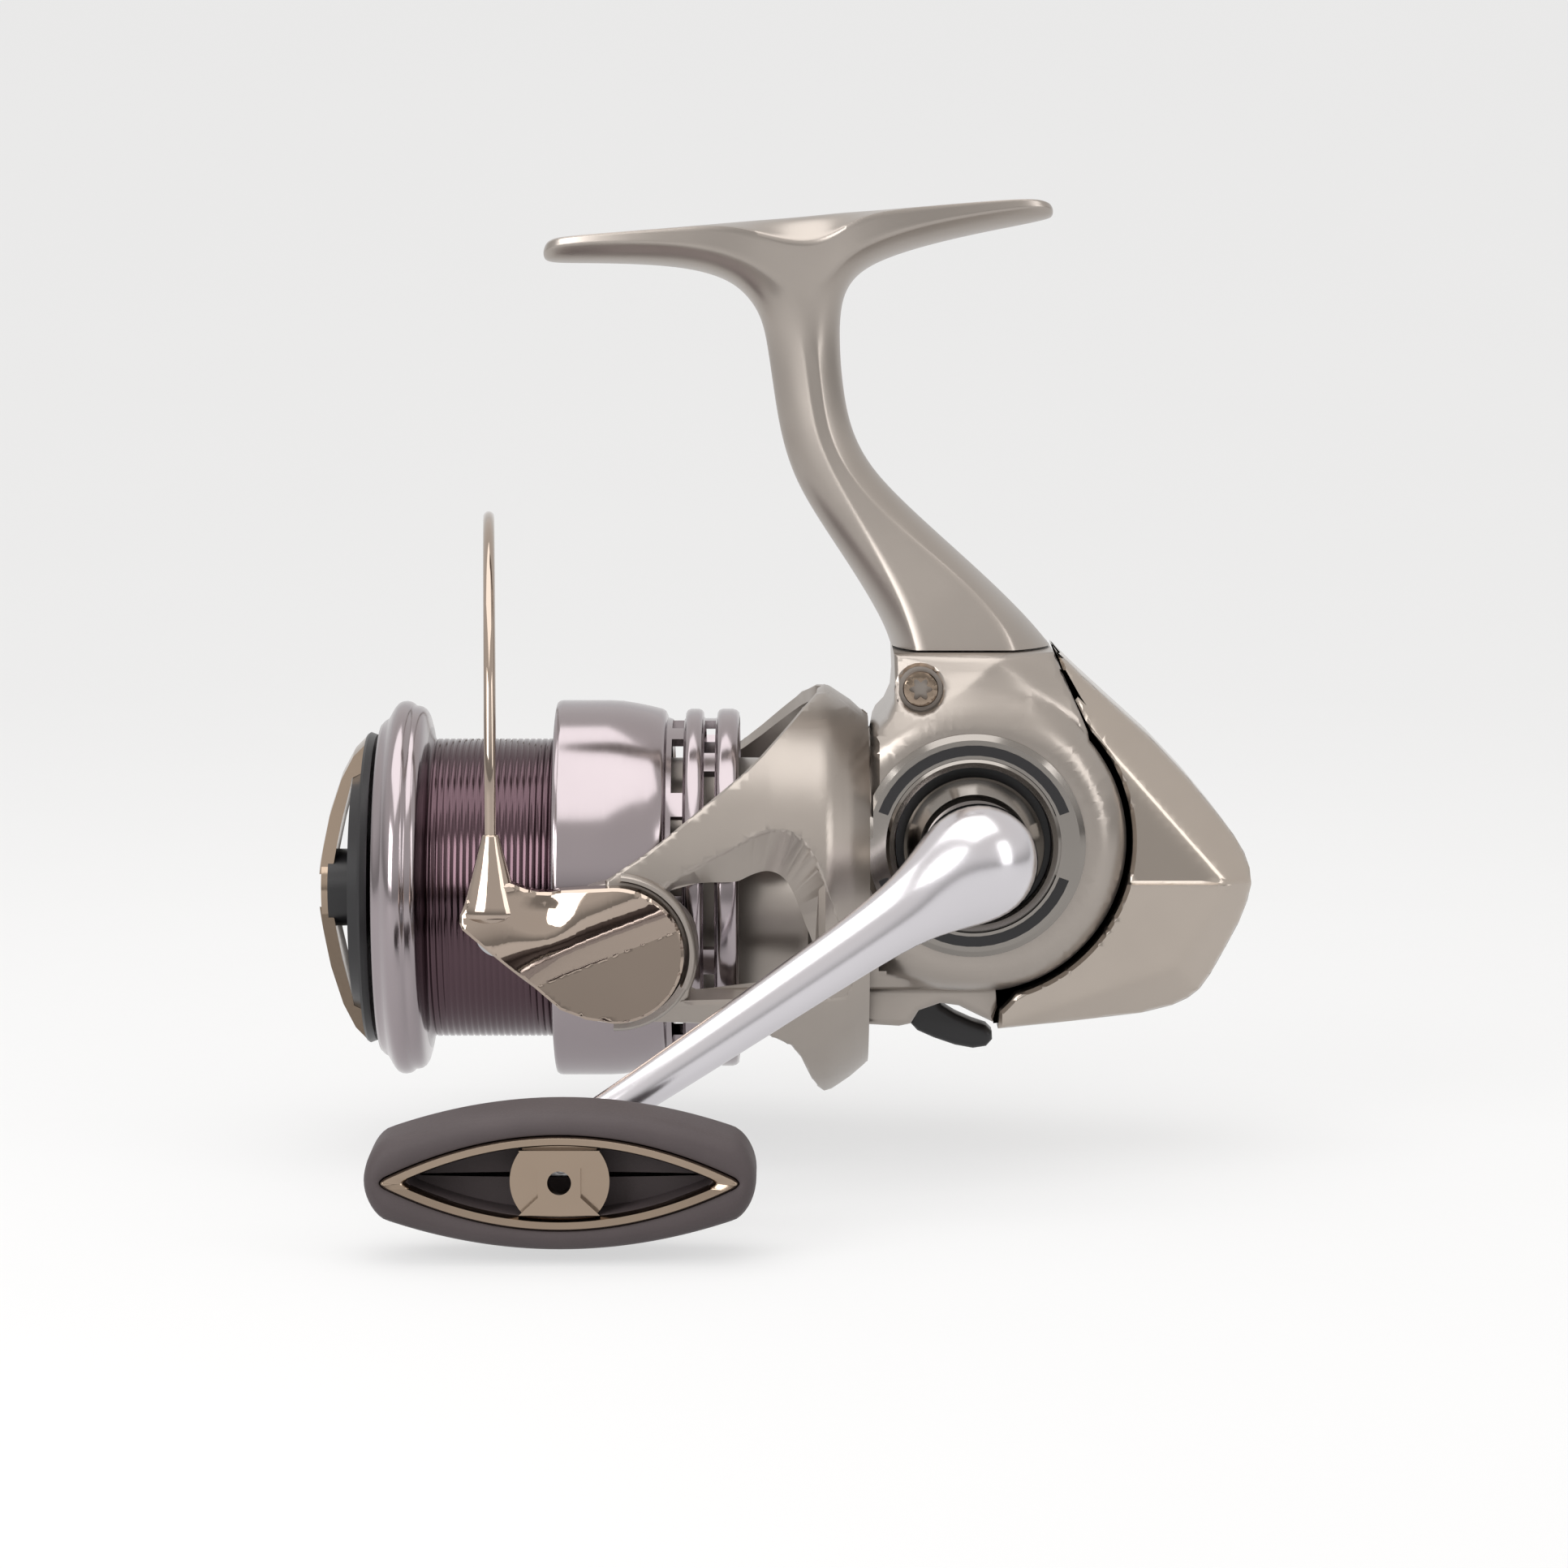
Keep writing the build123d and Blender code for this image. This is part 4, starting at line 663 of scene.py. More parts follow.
class REEL_OT_covers(bpy.types.Operator):
    """Housing: handle-side cover, far wall with the belly, and the rear cover that wraps both"""
    bl_idname = "reel.covers"
    bl_label = "Housing covers"

    def execute(self, context):
        sizes = context.scene.reel_sizes
        edge = sizes.edge
        front = COVER_TOP + [(SEAM_TOP[0] - 0.25, SEAM_TOP[1] - 0.1)]
        front += arc(ROUND_JOINT_R, 41.0, -79.0, 34)
        lines = [((3.9, 29.3), (-11.1, 18.7)), ((3.4, 28.4), (12.8, 21.6)), ((-15.4, -9.4), (4.0, -9.4))]
        shaft_hole = arc(SHAFT_HOLE_R, 0.0, 352.5, 48)
        well = arc(2.65, 0.0, 345.0, 24, *SCREW_WELL)
        for side, name, node in ((-1, "handle_side_cover", "side_cover"), (1, "far_wall", "body_frame")):
            bm = bmesh.new()
            holes = [shaft_hole, well] if side < 0 else [shaft_hole]

            def back_of(x, z, side=side):
                if side < 0 and hypot(x - SCREW_WELL[0], z - SCREW_WELL[1]) < 2.8:
                    return -11.6
                return -clear_of_rotor(x, 8.5, z)

            side_shell(bm, side, front, holes, lines, cover_height, edge, back_of)
            if side < 0:
                rim = [e for e in bm.edges if e.is_boundary and all(
                    hypot(v.co.x - SCREW_WELL[0], v.co.z - SCREW_WELL[1]) < 2.8 for v in e.verts)]
                bmesh.ops.contextual_create(bm, geom=rim)
            finish_piece(bm, name, "frame", [node], "satin_alloy")
        self.belly()
        # black sheet under the round joint: painted shade for the shadowed gap
        self.shade_sheet_under_joint(ROUND_JOINT_R, sizes.gap)
        outer_r = ROUND_JOINT_R + sizes.gap
        outline = [(10.1, 29.6)] + OUTER_LINE + [(3.2, -15.5), (3.4, -13.4), (4.6, -12.2)]
        outline += arc(outer_r, -74.0, 41.5, 34) + [(SEAM_TOP[0] + 0.1, SEAM_TOP[1] + 0.1), (12.0, 24.5)]
        lines = [((14.0, 20.5), (29.9, 2.6)), ((30.0, 1.2), (24.4, -7.9)), ((24.4, -7.9), (12.0, -12.2)),
                 ((18.0, 2.2), (34.0, 2.2))]
        bm = bmesh.new()
        loops = panel(bm, outline, (), lines, pitch=0.95)
        for v in bm.verts:
            v.co.y = -rounded(rear_height(v.co.x, v.co.z), v.co.x, v.co.z, loops, edge)

        def inward(x, z):
            at_round = hypot(x, z - DRIVE_Z) < outer_r + 0.3
            at_straight = (x < SEAM_TOP[0] + 1.0 and 15 < z < 29.4
                           and beyond(x, z, (10.1, 29.6), SEAM_TOP) < 0.5)
            return -9.0 if at_round or at_straight else 0.0

        wall_back(bm, inward)
        mirror_y(bm)
        finish_piece(bm, "rear_shroud", "frame", ["rear_cover"], "gloss_cover", sharp=28.0)
        bm = bmesh.new()
        seat = [(-16.3, 9.35), (-15.25, 9.2), (-15.2, 5.0), (-14.4, 4.4), (-11.5, 4.4)]
        turned_about_y(bm, seat, 0.0, DRIVE_Z)
        mirror_y(bm)
        finish_piece(bm, "bearing_seats", "frame", [], "black_plastic")
        for name, head_y, x, z, side in (("cover_screw_top", 13.1, *SCREW_WELL, -1),
                                         ("cover_screw_low", 12.5, *SCREW_LOW, 1)):
            bm = bmesh.new()
            self.screw_head(bm, head_y, x, z)
            if side > 0:
                bmesh.ops.scale(bm, vec=(1, -1, 1), verts=bm.verts)
            finish_piece(bm, name, "frame", ["cover_screws"], "bronze_plate", sharp=30.0)
        return {"FINISHED"}

    def screw_head(self, bm, head_y, x, z):
        """Flat screw head with a six-lobed socket."""
        rim = arc(2.1, 0.0, 352.5, 48, x, z)
        turns = [2 * pi * i / 60 for i in range(60)]
        star = [(x + (1.12 + 0.26 * cos(6 * t)) * cos(t), z + (1.12 + 0.26 * cos(6 * t)) * sin(t))
                for t in turns]
        panel(bm, rim, [star], [], pitch=0.8, rim=0.1)
        for v in bm.verts:
            v.co.y = -rounded(head_y, v.co.x, v.co.z, [rim], 0.25)
        wall_back(bm, lambda px, pz: -(head_y - (1.8 if hypot(px - x, pz - z) < 1.5 else 2.0)))
        rims = [e for e in bm.edges
                if e.is_boundary and hypot(e.verts[0].co.x - x, e.verts[0].co.z - z) < 1.5]
        bmesh.ops.contextual_create(bm, geom=rims)

    def shade_sheet_under_joint(self, radius, gap):
        """Black sheet under the joint between side cover and rear cover: painted shade where the gap's
        shadow falls on the frame.
        """
        bm = bmesh.new()
        seam = [(9.9, 27.8), (11.6, 24.2), (SEAM_TOP[0] - 0.3, SEAM_TOP[1] - 0.4)]
        seam += arc(radius, 40.0, -79.0, 40) + [(3.7, -13.0), (3.2, -14.6)]
        wide = [(11.2, 27.4), (13.0, 24.2), (SEAM_TOP[0] + 1.4, SEAM_TOP[1] + 0.4)]
        wide += arc(radius + gap + 1.0, 40.0, -79.0, 40) + [(4.9, -13.0), (4.5, -14.4)]
        near = [[(a[0] - 0.5, -10.0, a[1]), (b[0], -10.0, b[1])] for a, b in zip(seam, wide)]
        sheet(bm, near)
        bmesh.ops.solidify(bm, geom=bm.faces[:], thickness=0.6)
        mirror_y(bm)
        # the black finish here is painted shade, not a real seal
        finish_piece(bm, "joint_painted_shade_sheet", "frame", [], "black_plastic")

    def belly(self):
        """Underside of the casting between the rotor and the rear cover, scooped behind the lever."""
        side = [(-15.4, -10.4), (-15.4, -15.3), (-8.6, -15.7), (-7.2, -15.4), (-6.2, -13.8), (-3.6, -12.9),
                (-1.4, -13.2), (0.6, -14.2), (2.7, -15.2), (4.0, -12.6), (4.2, -10.4)]
        bm = rounded_plate(side, 9.9, 1.1, 4)
        finish_piece(bm, "housing_belly", "frame", ["body_frame"], "satin_alloy")
        nose = bmesh.new()
        profile = [(-14.2, 17.2), (-14.6, 13.4), (-16.2, 11.6), (-18.0, 11.0), (-26.0, 11.0), (-26.5, 10.5),
                   (-26.5, 9.3)]
        turned(nose, profile, 72)
        finish_piece(nose, "housing_nose", "frame", ["body_frame"], "satin_alloy")


ROTOR_SKIN = [(-52.0, 30.3), (-42.0, 29.9), (-31.5, 27.7), (-24.0, 26.0), (-19.6, 25.25), (-17.4, 24.9),
              (-16.8, 24.6), (-14.4, 23.0), (-12.3, 21.2)]
PIVOT = (-42.0, -3.8)                # bail axis
PIVOT_DISC_R = 7.95
ARM_EDGE = [(-43.2, 4.7), (-38.2, 7.9), (-35.0, 10.4), (-31.2, 13.4), (-27.3, 16.4), (-25.2, 18.3),
            (-22.4, 21.1), (-20.3, 23.2), (-18.6, 24.6), (-17.0, 24.74), (-14.4, 22.95), (-12.3, 21.15),
            (-12.3, -21.15), (-14.4, -22.95), (-16.6, -24.7), (-17.9, -24.2), (-19.2, -21.6),
            (-20.4, -18.4), (-21.6, -16.6), (-24.4, -15.0), (-31.8, -13.2), (-38.0, -12.6), (-43.2, -12.4)]
ARM_WINDOW = [(-36.2, 3.4), (-33.0, 5.4), (-29.0, 7.4), (-26.6, 8.7), (-24.9, 9.4), (-23.3, 9.7),
              (-21.6, 9.3), (-20.1, 8.1), (-18.8, 5.9), (-17.9, 3.6), (-16.6, -0.4), (-15.3, -4.2),
              (-14.6, -7.4), (-15.2, -9.6), (-17.2, -10.1), (-32.8, -10.1), (-33.6, -9.6), (-32.6, -6.0),
              (-32.9, -1.4), (-34.2, 1.2)]


def skin_radius(x):
    """Radius of the rotor's outer skin at a place along its axis."""
    return along_table(ROTOR_SKIN, x)


def towards_inner_window(x, z, spare):
    """Move a point of the window's rim in, further at the back, as the inside face's opening is smaller."""
    reach = 0.3 * smooth_step(x + 0.9 * z, -34.0, -20.0) + spare
    return x + (-27.0 - x) * reach, z + (-3.0 - z) * reach


def wrap(x, z, depth):
    """Put a side-view point on the rotor's turned skin, or under it by a depth."""
    r = skin_radius(x)
    depth = min(depth, 0.85 + 0.5 * max(-12.3 - x, 0.0))
    a = asin(max(-0.9995, min(0.9995, z / r)))
    return Vector((x, -(r - depth) * cos(a), (r - depth) * sin(a)))


class REEL_OT_rotor(bpy.types.Operator):
    """Rotor: two windowed arms on a turned ring and cup, with round heads for the bail pivots"""
    bl_idname = "reel.rotor"
    bl_label = "Rotor"

    def execute(self, context):
        window = eased(ARM_WINDOW)
        for side, name in ((-1, "rotor_arm_near"), (1, "rotor_arm_far")):
            bm = bmesh.new()
            panel(bm, ARM_EDGE, [window], [], pitch=0.9, rim=0.4)
            flat = {v: (v.co.x, v.co.z) for v in bm.verts}
            loops = [ARM_EDGE, window]
            for v, (x, z) in flat.items():
                gap = edge_distance(x, z, loops) if x < -12.9 else 1.0
                t = max(0.0, 1 - gap / 0.4)
                v.co = wrap(x, z, 0.4 * (1 - sqrt(max(0.0, 1 - t * t))))
            rims = [e for e in bm.edges if e.is_boundary]
            grown = bmesh.ops.extrude_edge_only(bm, edges=rims)
            moved = [g for g in grown["geom"] if isinstance(g, bmesh.types.BMVert)]
            for v in moved:
                x = v.co.x
                r = skin_radius(x)
                z = r * sin(atan2(v.co.z, -v.co.y))
                if edge_distance(x, z, [window]) < edge_distance(x, z, [ARM_EDGE]):
                    v.co = wrap(*towards_inner_window(x, z, 0.03), 2.7)
                else:
                    v.co = wrap(x, z, 2.0)
            if side > 0:
                bmesh.ops.scale(bm, vec=(1, -1, 1), verts=bm.verts)
            self.head(bm, side)
            finish_piece(bm, name, "rotor", ["rotor"], "satin_alloy", sharp=42.0)
            self.inner_skin(side)
        self.ring()
        return {"FINISHED"}

    def inner_skin(self, side):
        """Inside face of an arm, so that it is a closed casting from every side."""
        bm = bmesh.new()
        inner = [towards_inner_window(x, z, 0.02) for x, z in ARM_WINDOW]
        panel(bm, ARM_EDGE, [inner], [], pitch=1.4, rim=0.0)
        for v in bm.verts:
            near_window = 3.0 - edge_distance(v.co.x, v.co.z, [inner])
            v.co = wrap(v.co.x, v.co.z, 2.0 + 0.7 * smooth_step(near_window, 0.0, 3.0))
        if side > 0:
            bmesh.ops.scale(bm, vec=(1, -1, 1), verts=bm.verts)
        finish_piece(bm, "rotor_arm_lining_" + ("near" if side < 0 else "far"), "rotor", ["rotor"],
                     "satin_alloy")

    def head(self, bm, side):
        """Round head with the rim that half surrounds the bail's pivot disc."""
        for profile, start, stop in (([(28.6, 0.0), (28.6, 7.5), (28.1, 8.0), (24.2, 8.0), (23.9, 7.6),
                                       (23.9, 0.0)], 0.0, 360.0),
                                     ([(24.2, 8.0), (28.5, 8.0), (28.8, 8.3), (28.8, 9.0), (28.4, 9.35),
                                       (24.2, 9.35), (24.2, 8.0)], -92.0, -27.0),
                                     ([(28.4, 8.4), (30.5, 8.4), (30.8, 8.6), (30.8, 9.0), (30.4, 9.35),
                                       (28.0, 9.35), (28.4, 8.4)], -27.0, 86.0)):
            verts = [bm.verts.new((PIVOT[0] + r * cos(radians(start)), side * y,
                                   PIVOT[1] + r * sin(radians(start)))) for y, r in profile[:-1]]
            edges = [bm.edges.new((a, b)) for a, b in zip(verts, verts[1:])]
            whole = stop - start >= 360.0
            if not whole:
                edges.append(bm.edges.new((verts[-1], verts[0])))
                bmesh.ops.contextual_create(bm, geom=edges)
            swept = bmesh.ops.spin(bm, geom=verts + edges, axis=(0, -1, 0), cent=(PIVOT[0], 0, PIVOT[1]),
                                   angle=radians(stop - start), steps=64 if whole else 36,
                                   use_merge=whole)
            if not whole:
                last = [g for g in swept["geom_last"] if isinstance(g, bmesh.types.BMEdge)]
                bmesh.ops.contextual_create(bm, geom=last)

    def ring(self):
        """Turned ring behind the arms and the cup that the spool's skirt runs over."""
        bm = bmesh.new()
        profile = [(-39.9, 14.3), (-40.0, 14.9), (-39.7, 15.7), (-38.8, 15.8), (-21.0, 15.8), (-19.6, 16.5),
                   (-19.0, 18.4), (-18.8, 22.4), (-18.4, 24.2), (-17.6, 24.75), (-16.9, 24.55),
                   (-14.4, 22.9), (-12.7, 21.3), (-12.4, 20.9), (-12.6, 20.3), (-13.4, 20.1), (-16.3, 20.1),
                   (-16.6, 14.0), (-31.2, 14.0), (-31.2, 3.1), (-33.4, 3.1), (-33.4, 14.0), (-39.9, 14.3)]
        turned(bm, profile)
        finish_piece(bm, "rotor_ring_and_cup", "rotor", ["rotor"], "satin_alloy", sharp=42.0)


BLADE_EDGE = [(-59.95, 0.9), (-59.2, 2.6), (-57.4, 3.2), (-55.2, 4.4), (-54.2, 4.6), (-53.3, 4.25),
              (-52.3, 3.85), (-51.0, 3.6), (-49.8, 3.55), (-48.2, 3.75),
              (-45.5, 3.95)] + arc(PIVOT_DISC_R, 97.0, -92.0, 40, *PIVOT) + [(-45.4, -11.3),
                                                                                            (-48.4, -10.2),
                                                                                            (-52.2, -7.0),
                                                                                            (-56.0, -3.8),
                                                                                            (-59.7, -0.75),
                                                                                            (-60.0, 0.0)]
ROLLER = (-55.6, -1.6)
BLADE_BACK = 28.85                   # inside face of the bail arm and of the far holder
WIRE_R = 0.68
WIRE_FOOT_Z = 9.6
WIRE_TOP_Z = 45.8
WIRE_HALF_SPAN = 29.2
WIRE_SKEW = radians(3.2)
CONE_ROWS = [
    (-56.5, -29.15, 9.95, 0.3, 0.3), (-56.5, -29.15, 10.0, 0.86, 0.86), (-56.5, -29.17, 9.85, 1.0, 0.98),
    (-56.5, -29.3, 8.0, 1.5, 1.3), (-56.45, -29.6, 6.0, 2.05, 1.75), (-56.45, -29.95, 4.0, 2.6, 2.15),
    (-56.4, -30.2, 2.0, 3.2, 2.5), (-56.4, -30.3, 0.95, 3.5, 2.62), (-56.4, -30.3, 0.55, 3.45, 2.55),
    (-56.3, -30.3, 0.0, 3.1, 2.1), (-56.2, -30.2, -1.4, 2.2, 1.2), (-56.2, -30.2, -1.6, 0.2, 0.2),
]
SOCKET_ROWS = [
    (0.0, 0.0, 9.9, 0.3, 0.3), (0.0, 0.0, 10.0, 1.0, 1.0), (0.0, 0.0, 9.8, 1.15, 1.15),
    (0.0, 0.3, 7.2, 1.6, 1.5), (0.1, 0.9, 4.0, 2.1, 1.6), (0.3, 1.2, 2.0, 1.6, 1.3),
    (0.3, 1.2, 1.6, 0.2, 0.2),
]
CREASE_LINE = ((-34.4, -0.85), (-50.6, -7.3))


def blade_height(x, z):
    """Polished face: a swept ridge above a straight step, and a flatter facet below it."""
    up = -beyond(x, z, *CREASE_LINE)
    tip = smooth_step(-x, 46.0, 58.0)
    swell = sin(pi * min(max(up / (10.5 + 1.0 * tip), 0.0), 1.0))
    ridge = 31.15 + 1.7 * swell * (1 - 0.35 * tip) + 0.55 * tip
    hollow = 0.75 * exp(-((x + 50.2) / 2.6) ** 2 - ((z - 1.2) / 1.9) ** 2)
    facet = 31.2 - 0.15 * up - 0.015 * (x + 42.0)
    return facet + (ridge - hollow - facet) * smooth_step(up, 0.0, 0.3)


def closed_rings(bm, rings):
    """Skin a run of closed rings, given as lists of points."""
    sheet(bm, [list(ring) + [ring[0]] for ring in rings])


def oval(centre, wide, deep, count=28, along=(1, 0, 0), across=(0, 1, 0)):
    """Closed ring of points round a centre, with half widths along two directions."""
    a, b, c = Vector(along), Vector(across), Vector(centre)
    turns = [2 * pi * i / count for i in range(count)]
    return [c + a * wide * cos(t) + b * deep * sin(t) for t in turns]


def wire_place(across, up):
    """Point of the wire's plane, which is turned so that its far foot stands further forward."""
    return Vector((-58.15 - across * sin(WIRE_SKEW), across * cos(WIRE_SKEW), WIRE_FOOT_Z + up))


class REEL_OT_bail(bpy.types.Operator):
    """Bail: mirror-polished arm with its wire cone, the wire loop and the far holder"""
    bl_idname = "reel.bail"
    bl_label = "Bail"

    def execute(self, context):
        bm = bmesh.new()
        loops = panel(bm, BLADE_EDGE, (), [CREASE_LINE], pitch=0.6, rim=0.35)
        for v in bm.verts:
            v.co.y = -rounded(blade_height(v.co.x, v.co.z), v.co.x, v.co.z, loops, 0.35)
        wall_back(bm, lambda x, z: -BLADE_BACK)
        rim = [e for e in bm.edges if e.is_boundary]
        bmesh.ops.contextual_create(bm, geom=rim)
        rings = [oval((x, y, z), wide, deep) for x, y, z, wide, deep in CONE_ROWS]
        closed_rings(bm, rings)
        finish_piece(bm, "bail_blade_and_cone", "bail", ["bail_arm"], "champagne_chrome", sharp=24.0)
        bm = bmesh.new()
        turned_about_y(bm, [(-28.7, 1.6), (-28.7, 2.8), (-28.3, 2.8), (-27.4, 2.3), (-26.2, 2.3),
                            (-25.4, 2.8), (-25.1, 2.8), (-25.1, 1.6), (-28.7, 1.6)],
                       *ROLLER)
        finish_piece(bm, "turned_line_roller", "roller", ["line_roller"], "steel")
        self.wire()
        self.holder()
        return {"FINISHED"}

    def wire(self):
        """Bent spring wire, a half round on two straight legs."""
        bm = bmesh.new()
        span = WIRE_HALF_SPAN
        leg = WIRE_TOP_Z - WIRE_R - WIRE_FOOT_Z - span
        path = [(-span, leg * i / 4) for i in range(4)]
        path += [(span * cos(radians(180 - a)), leg + span * sin(radians(a))) for a in range(0, 181, 5)]
        path += [(span, leg * i / 4) for i in range(3, -1, -1)]
        rings = []
        for i, (across, up) in enumerate(path):
            before, after = path[max(i - 1, 0)], path[min(i + 1, len(path) - 1)]
            run = (wire_place(*after) - wire_place(*before)).normalized()
            flat = Vector((cos(WIRE_SKEW), sin(WIRE_SKEW), 0))
            rings.append(oval(wire_place(across, up), WIRE_R, WIRE_R, 16, flat, run.cross(flat)))
        closed_rings(bm, rings)
        finish_piece(bm, "bail_wire_loop", "bail", ["bail_wire"], "champagne_chrome", sharp=60.0)

    def holder(self):
        """Far holder: the same pivot disc with a plain blade and a short socket for the wire."""
        edge = [(-61.3, 2.2), (-61.2, 4.2), (-59.6, 5.3), (-57.6, 5.0), (-53.6, 4.1), (-48.2, 3.75),
                (-45.5, 3.95)]
        edge += arc(PIVOT_DISC_R, 97.0, -92.0, 36, *PIVOT) + [(-45.4, -11.3), (-48.6, -9.4), (-52.2, -6.5),
                                                              (-56.2, -3.6)]
        bm = bmesh.new()
        loops = panel(bm, edge, (), (), pitch=0.8, rim=0.35)
        for v in bm.verts:
            x, z = v.co.x, v.co.z
            dome = 31.0 + 0.7 * sin(pi * min(max((z + 12.0) / 16.5, 0.0), 1.0))
            v.co.y = rounded(dome, x, z, loops, 0.35)
        wall_back(bm, lambda x, z: BLADE_BACK)
        bmesh.ops.contextual_create(bm, geom=[e for e in bm.edges if e.is_boundary])
        foot = wire_place(WIRE_HALF_SPAN, 0.0)
        rings = [oval((foot.x + dx, foot.y + dy, z), wide, deep) for dx, dy, z, wide, deep in SOCKET_ROWS]
        closed_rings(bm, rings)
        finish_piece(bm, "bail_far_holder", "bail", ["bail_holder"], "champagne_chrome", sharp=50.0)


CRANK_DIP = 31.8                     # the crank points forward and down by this, degrees
CRANK_LENGTH = 55.0                  # drive axis to knob axis
# Each row: place along the arm, Y, half width and half thickness.
CRANK_ROWS = [
    (-6.86, -33.0, 0.25, 0.25), (-6.7, -33.0, 1.5, 1.5), (-5.95, -33.0, 3.5, 3.5),
    (-4.5, -33.0, 5.25, 5.25), (-2.4, -33.0, 6.5, 6.5), (0.0, -33.0, 6.9, 6.9), (2.4, -33.3, 6.55, 6.5),
    (4.6, -34.0, 5.8, 5.7), (6.8, -34.9, 4.95, 4.8), (9.2, -36.0, 4.25, 4.1), (12.5, -37.4, 3.7, 3.5),
    (18.0, -39.5, 3.35, 3.1), (26.0, -42.4, 3.05, 2.8), (34.0, -45.3, 2.75, 2.55), (42.0, -47.8, 2.5, 2.35),
    (49.0, -49.4, 2.3, 2.2), (54.0, -50.1, 2.2, 2.1), (57.0, -50.2, 2.0, 1.9), (58.3, -50.2, 1.3, 1.2),
    (58.6, -50.2, 0.2, 0.2),
]
KNOB_X = -CRANK_LENGTH * cos(radians(CRANK_DIP))
KNOB_Z = DRIVE_Z - CRANK_LENGTH * sin(radians(CRANK_DIP))
GRIP_Z = KNOB_Z - 0.7


def turned_about_y(bm, profile, x, z, steps=72):
    """Turn an open (y, radius) profile about an axis along Y."""
    verts = [bm.verts.new((x + r, y, z)) for y, r in profile]
    edges = [bm.edges.new((a, b)) for a, b in zip(verts, verts[1:])]
    bmesh.ops.spin(bm, geom=verts + edges, axis=(0, 1, 0), cent=(x, 0, z), angle=2 * pi, steps=steps,
                   use_merge=True)


def lens(length, height, blunt, round_end, y, count=112):
    """Pointed oval with blunt, rounded ends, as a closed ring round the knob's middle."""
    half, points = length / 2, []
    for i in range(count):
        t = 2 * pi * i / count
        x = half * cos(t)
        rise = blunt + (height / 2 - blunt) * (1 - (x / half) ** 2)
        end = max(0.0, (abs(x) - half + round_end) / round_end)
        rise *= sqrt(max(0.0, 1 - end * end))
        points.append((KNOB_X + x, y, GRIP_Z + (rise if sin(t) > 0 else -rise)))
    return points


class REEL_OT_crank(bpy.types.Operator):
    """Crank arm: a ball over the drive axis that narrows into a slim swept arm"""
    bl_idname = "reel.crank"
    bl_label = "Crank arm"

    def execute(self, context):
        bm = bmesh.new()
        a = radians(CRANK_DIP)
        across = Vector((-sin(a), 0, cos(a)))
        rings = []
        for along, y, wide, thick in CRANK_ROWS:
            centre = Vector((-along * cos(a), y, DRIVE_Z - along * sin(a)))
            rings.append(oval(centre, wide, thick, 24, across, (0, 1, 0)))
        closed_rings(bm, rings)
        turned_about_y(bm, [(-33.0, 6.86), (-31.0, 6.75), (-28.8, 6.1), (-26.4, 5.5), (-24.2, 5.35)], 0.0,
                       DRIVE_Z)
        turned_about_y(bm, [(-48.1, 0.3), (-48.1, 3.0), (-48.5, 3.4), (-51.8, 3.4), (-52.2, 3.0),
                            (-52.2, 2.0)], KNOB_X, KNOB_Z, 48)
        arm = finish_piece(bm, "crank_arm_and_ball", "crank", ["handle_arm"], "silver_handle", sharp=50.0)
        subdivision(arm, 1)
        return {"FINISHED"}


class REEL_OT_knob(bpy.types.Operator):
    """Knob: soft T-shaped grip with its bright eye-shaped frame"""
    bl_idname = "reel.knob"
    bl_label = "Knob"

    def execute(self, context):
        face, back = -74.0, -61.0
        bm = bmesh.new()
        rings = [lens(31.0, 0.6, 0.1, 0.5, -68.6), lens(32.6, 7.6, 0.2, 0.6, -68.6),
                 lens(33.0, 7.9, 0.3, 0.6, face + 1.2), lens(38.9, 10.5, 0.35, 0.6, face + 1.2),
                 lens(39.0, 10.6, 0.4, 0.6, face + 0.15), lens(39.4, 11.0, 0.7, 0.9, face),
                 lens(40.8, 12.9, 2.3, 1.8, face + 0.05), lens(41.9, 14.4, 3.1, 2.2, face + 0.7),
                 lens(42.5, 15.2, 3.5, 2.4, face + 1.9), lens(42.6, 15.4, 3.6, 2.4, face + 3.6),
                 lens(42.6, 15.4, 3.6, 2.4, back - 3.4), lens(42.2, 15.0, 3.4, 2.4, back - 1.6),
                 lens(40.8, 13.6, 2.8, 2.2, back - 0.4), lens(38.6, 11.8, 2.0, 2.0, back),
                 lens(24.0, 5.0, 1.4, 1.6, back + 0.2), lens(10.0, 0.6, 0.1, 0.5, back + 0.2)]
        closed_rings(bm, rings)
        neck = [oval((KNOB_X, y, z), wide, high, 48, (1, 0, 0), (0, 0, 1)) for y, z, wide, high in (
            (-53.0, KNOB_Z, 3.4, 3.4), (-53.0, KNOB_Z, 4.7, 4.7), (-53.3, KNOB_Z, 5.1, 5.1),
            (-56.0, KNOB_Z, 5.15, 5.0), (-58.4, KNOB_Z - 0.3, 5.9, 5.0),
            (-60.2, KNOB_Z - 0.5, 7.9, 5.2), (-61.4, GRIP_Z, 11.0, 5.6), (-62.0, GRIP_Z, 12.0, 5.6))]
        closed_rings(bm, neck)
        finish_piece(bm, "knob_grip", "knob", ["knob_body"], "knob_rubber", sharp=48.0)
        bm = bmesh.new()
        outer = (38.7, 10.3, 0.3, 0.6)
        rings = [lens(*outer, face + 1.0), lens(*outer, face - 0.05),
                 lens(38.1, 9.95, 0.25, 0.6, face - 0.3), lens(34.6, 8.5, 0.2, 0.6, face - 0.1),
                 lens(33.6, 8.1, 0.2, 0.6, face + 0.35), lens(33.2, 7.95, 0.2, 0.6, face + 1.5)]
        closed_rings(bm, rings)
        finish_piece(bm, "knob_eye_frame", "knob", ["knob_trim"], "bronze_plate", sharp=50.0)
        return {"FINISHED"}


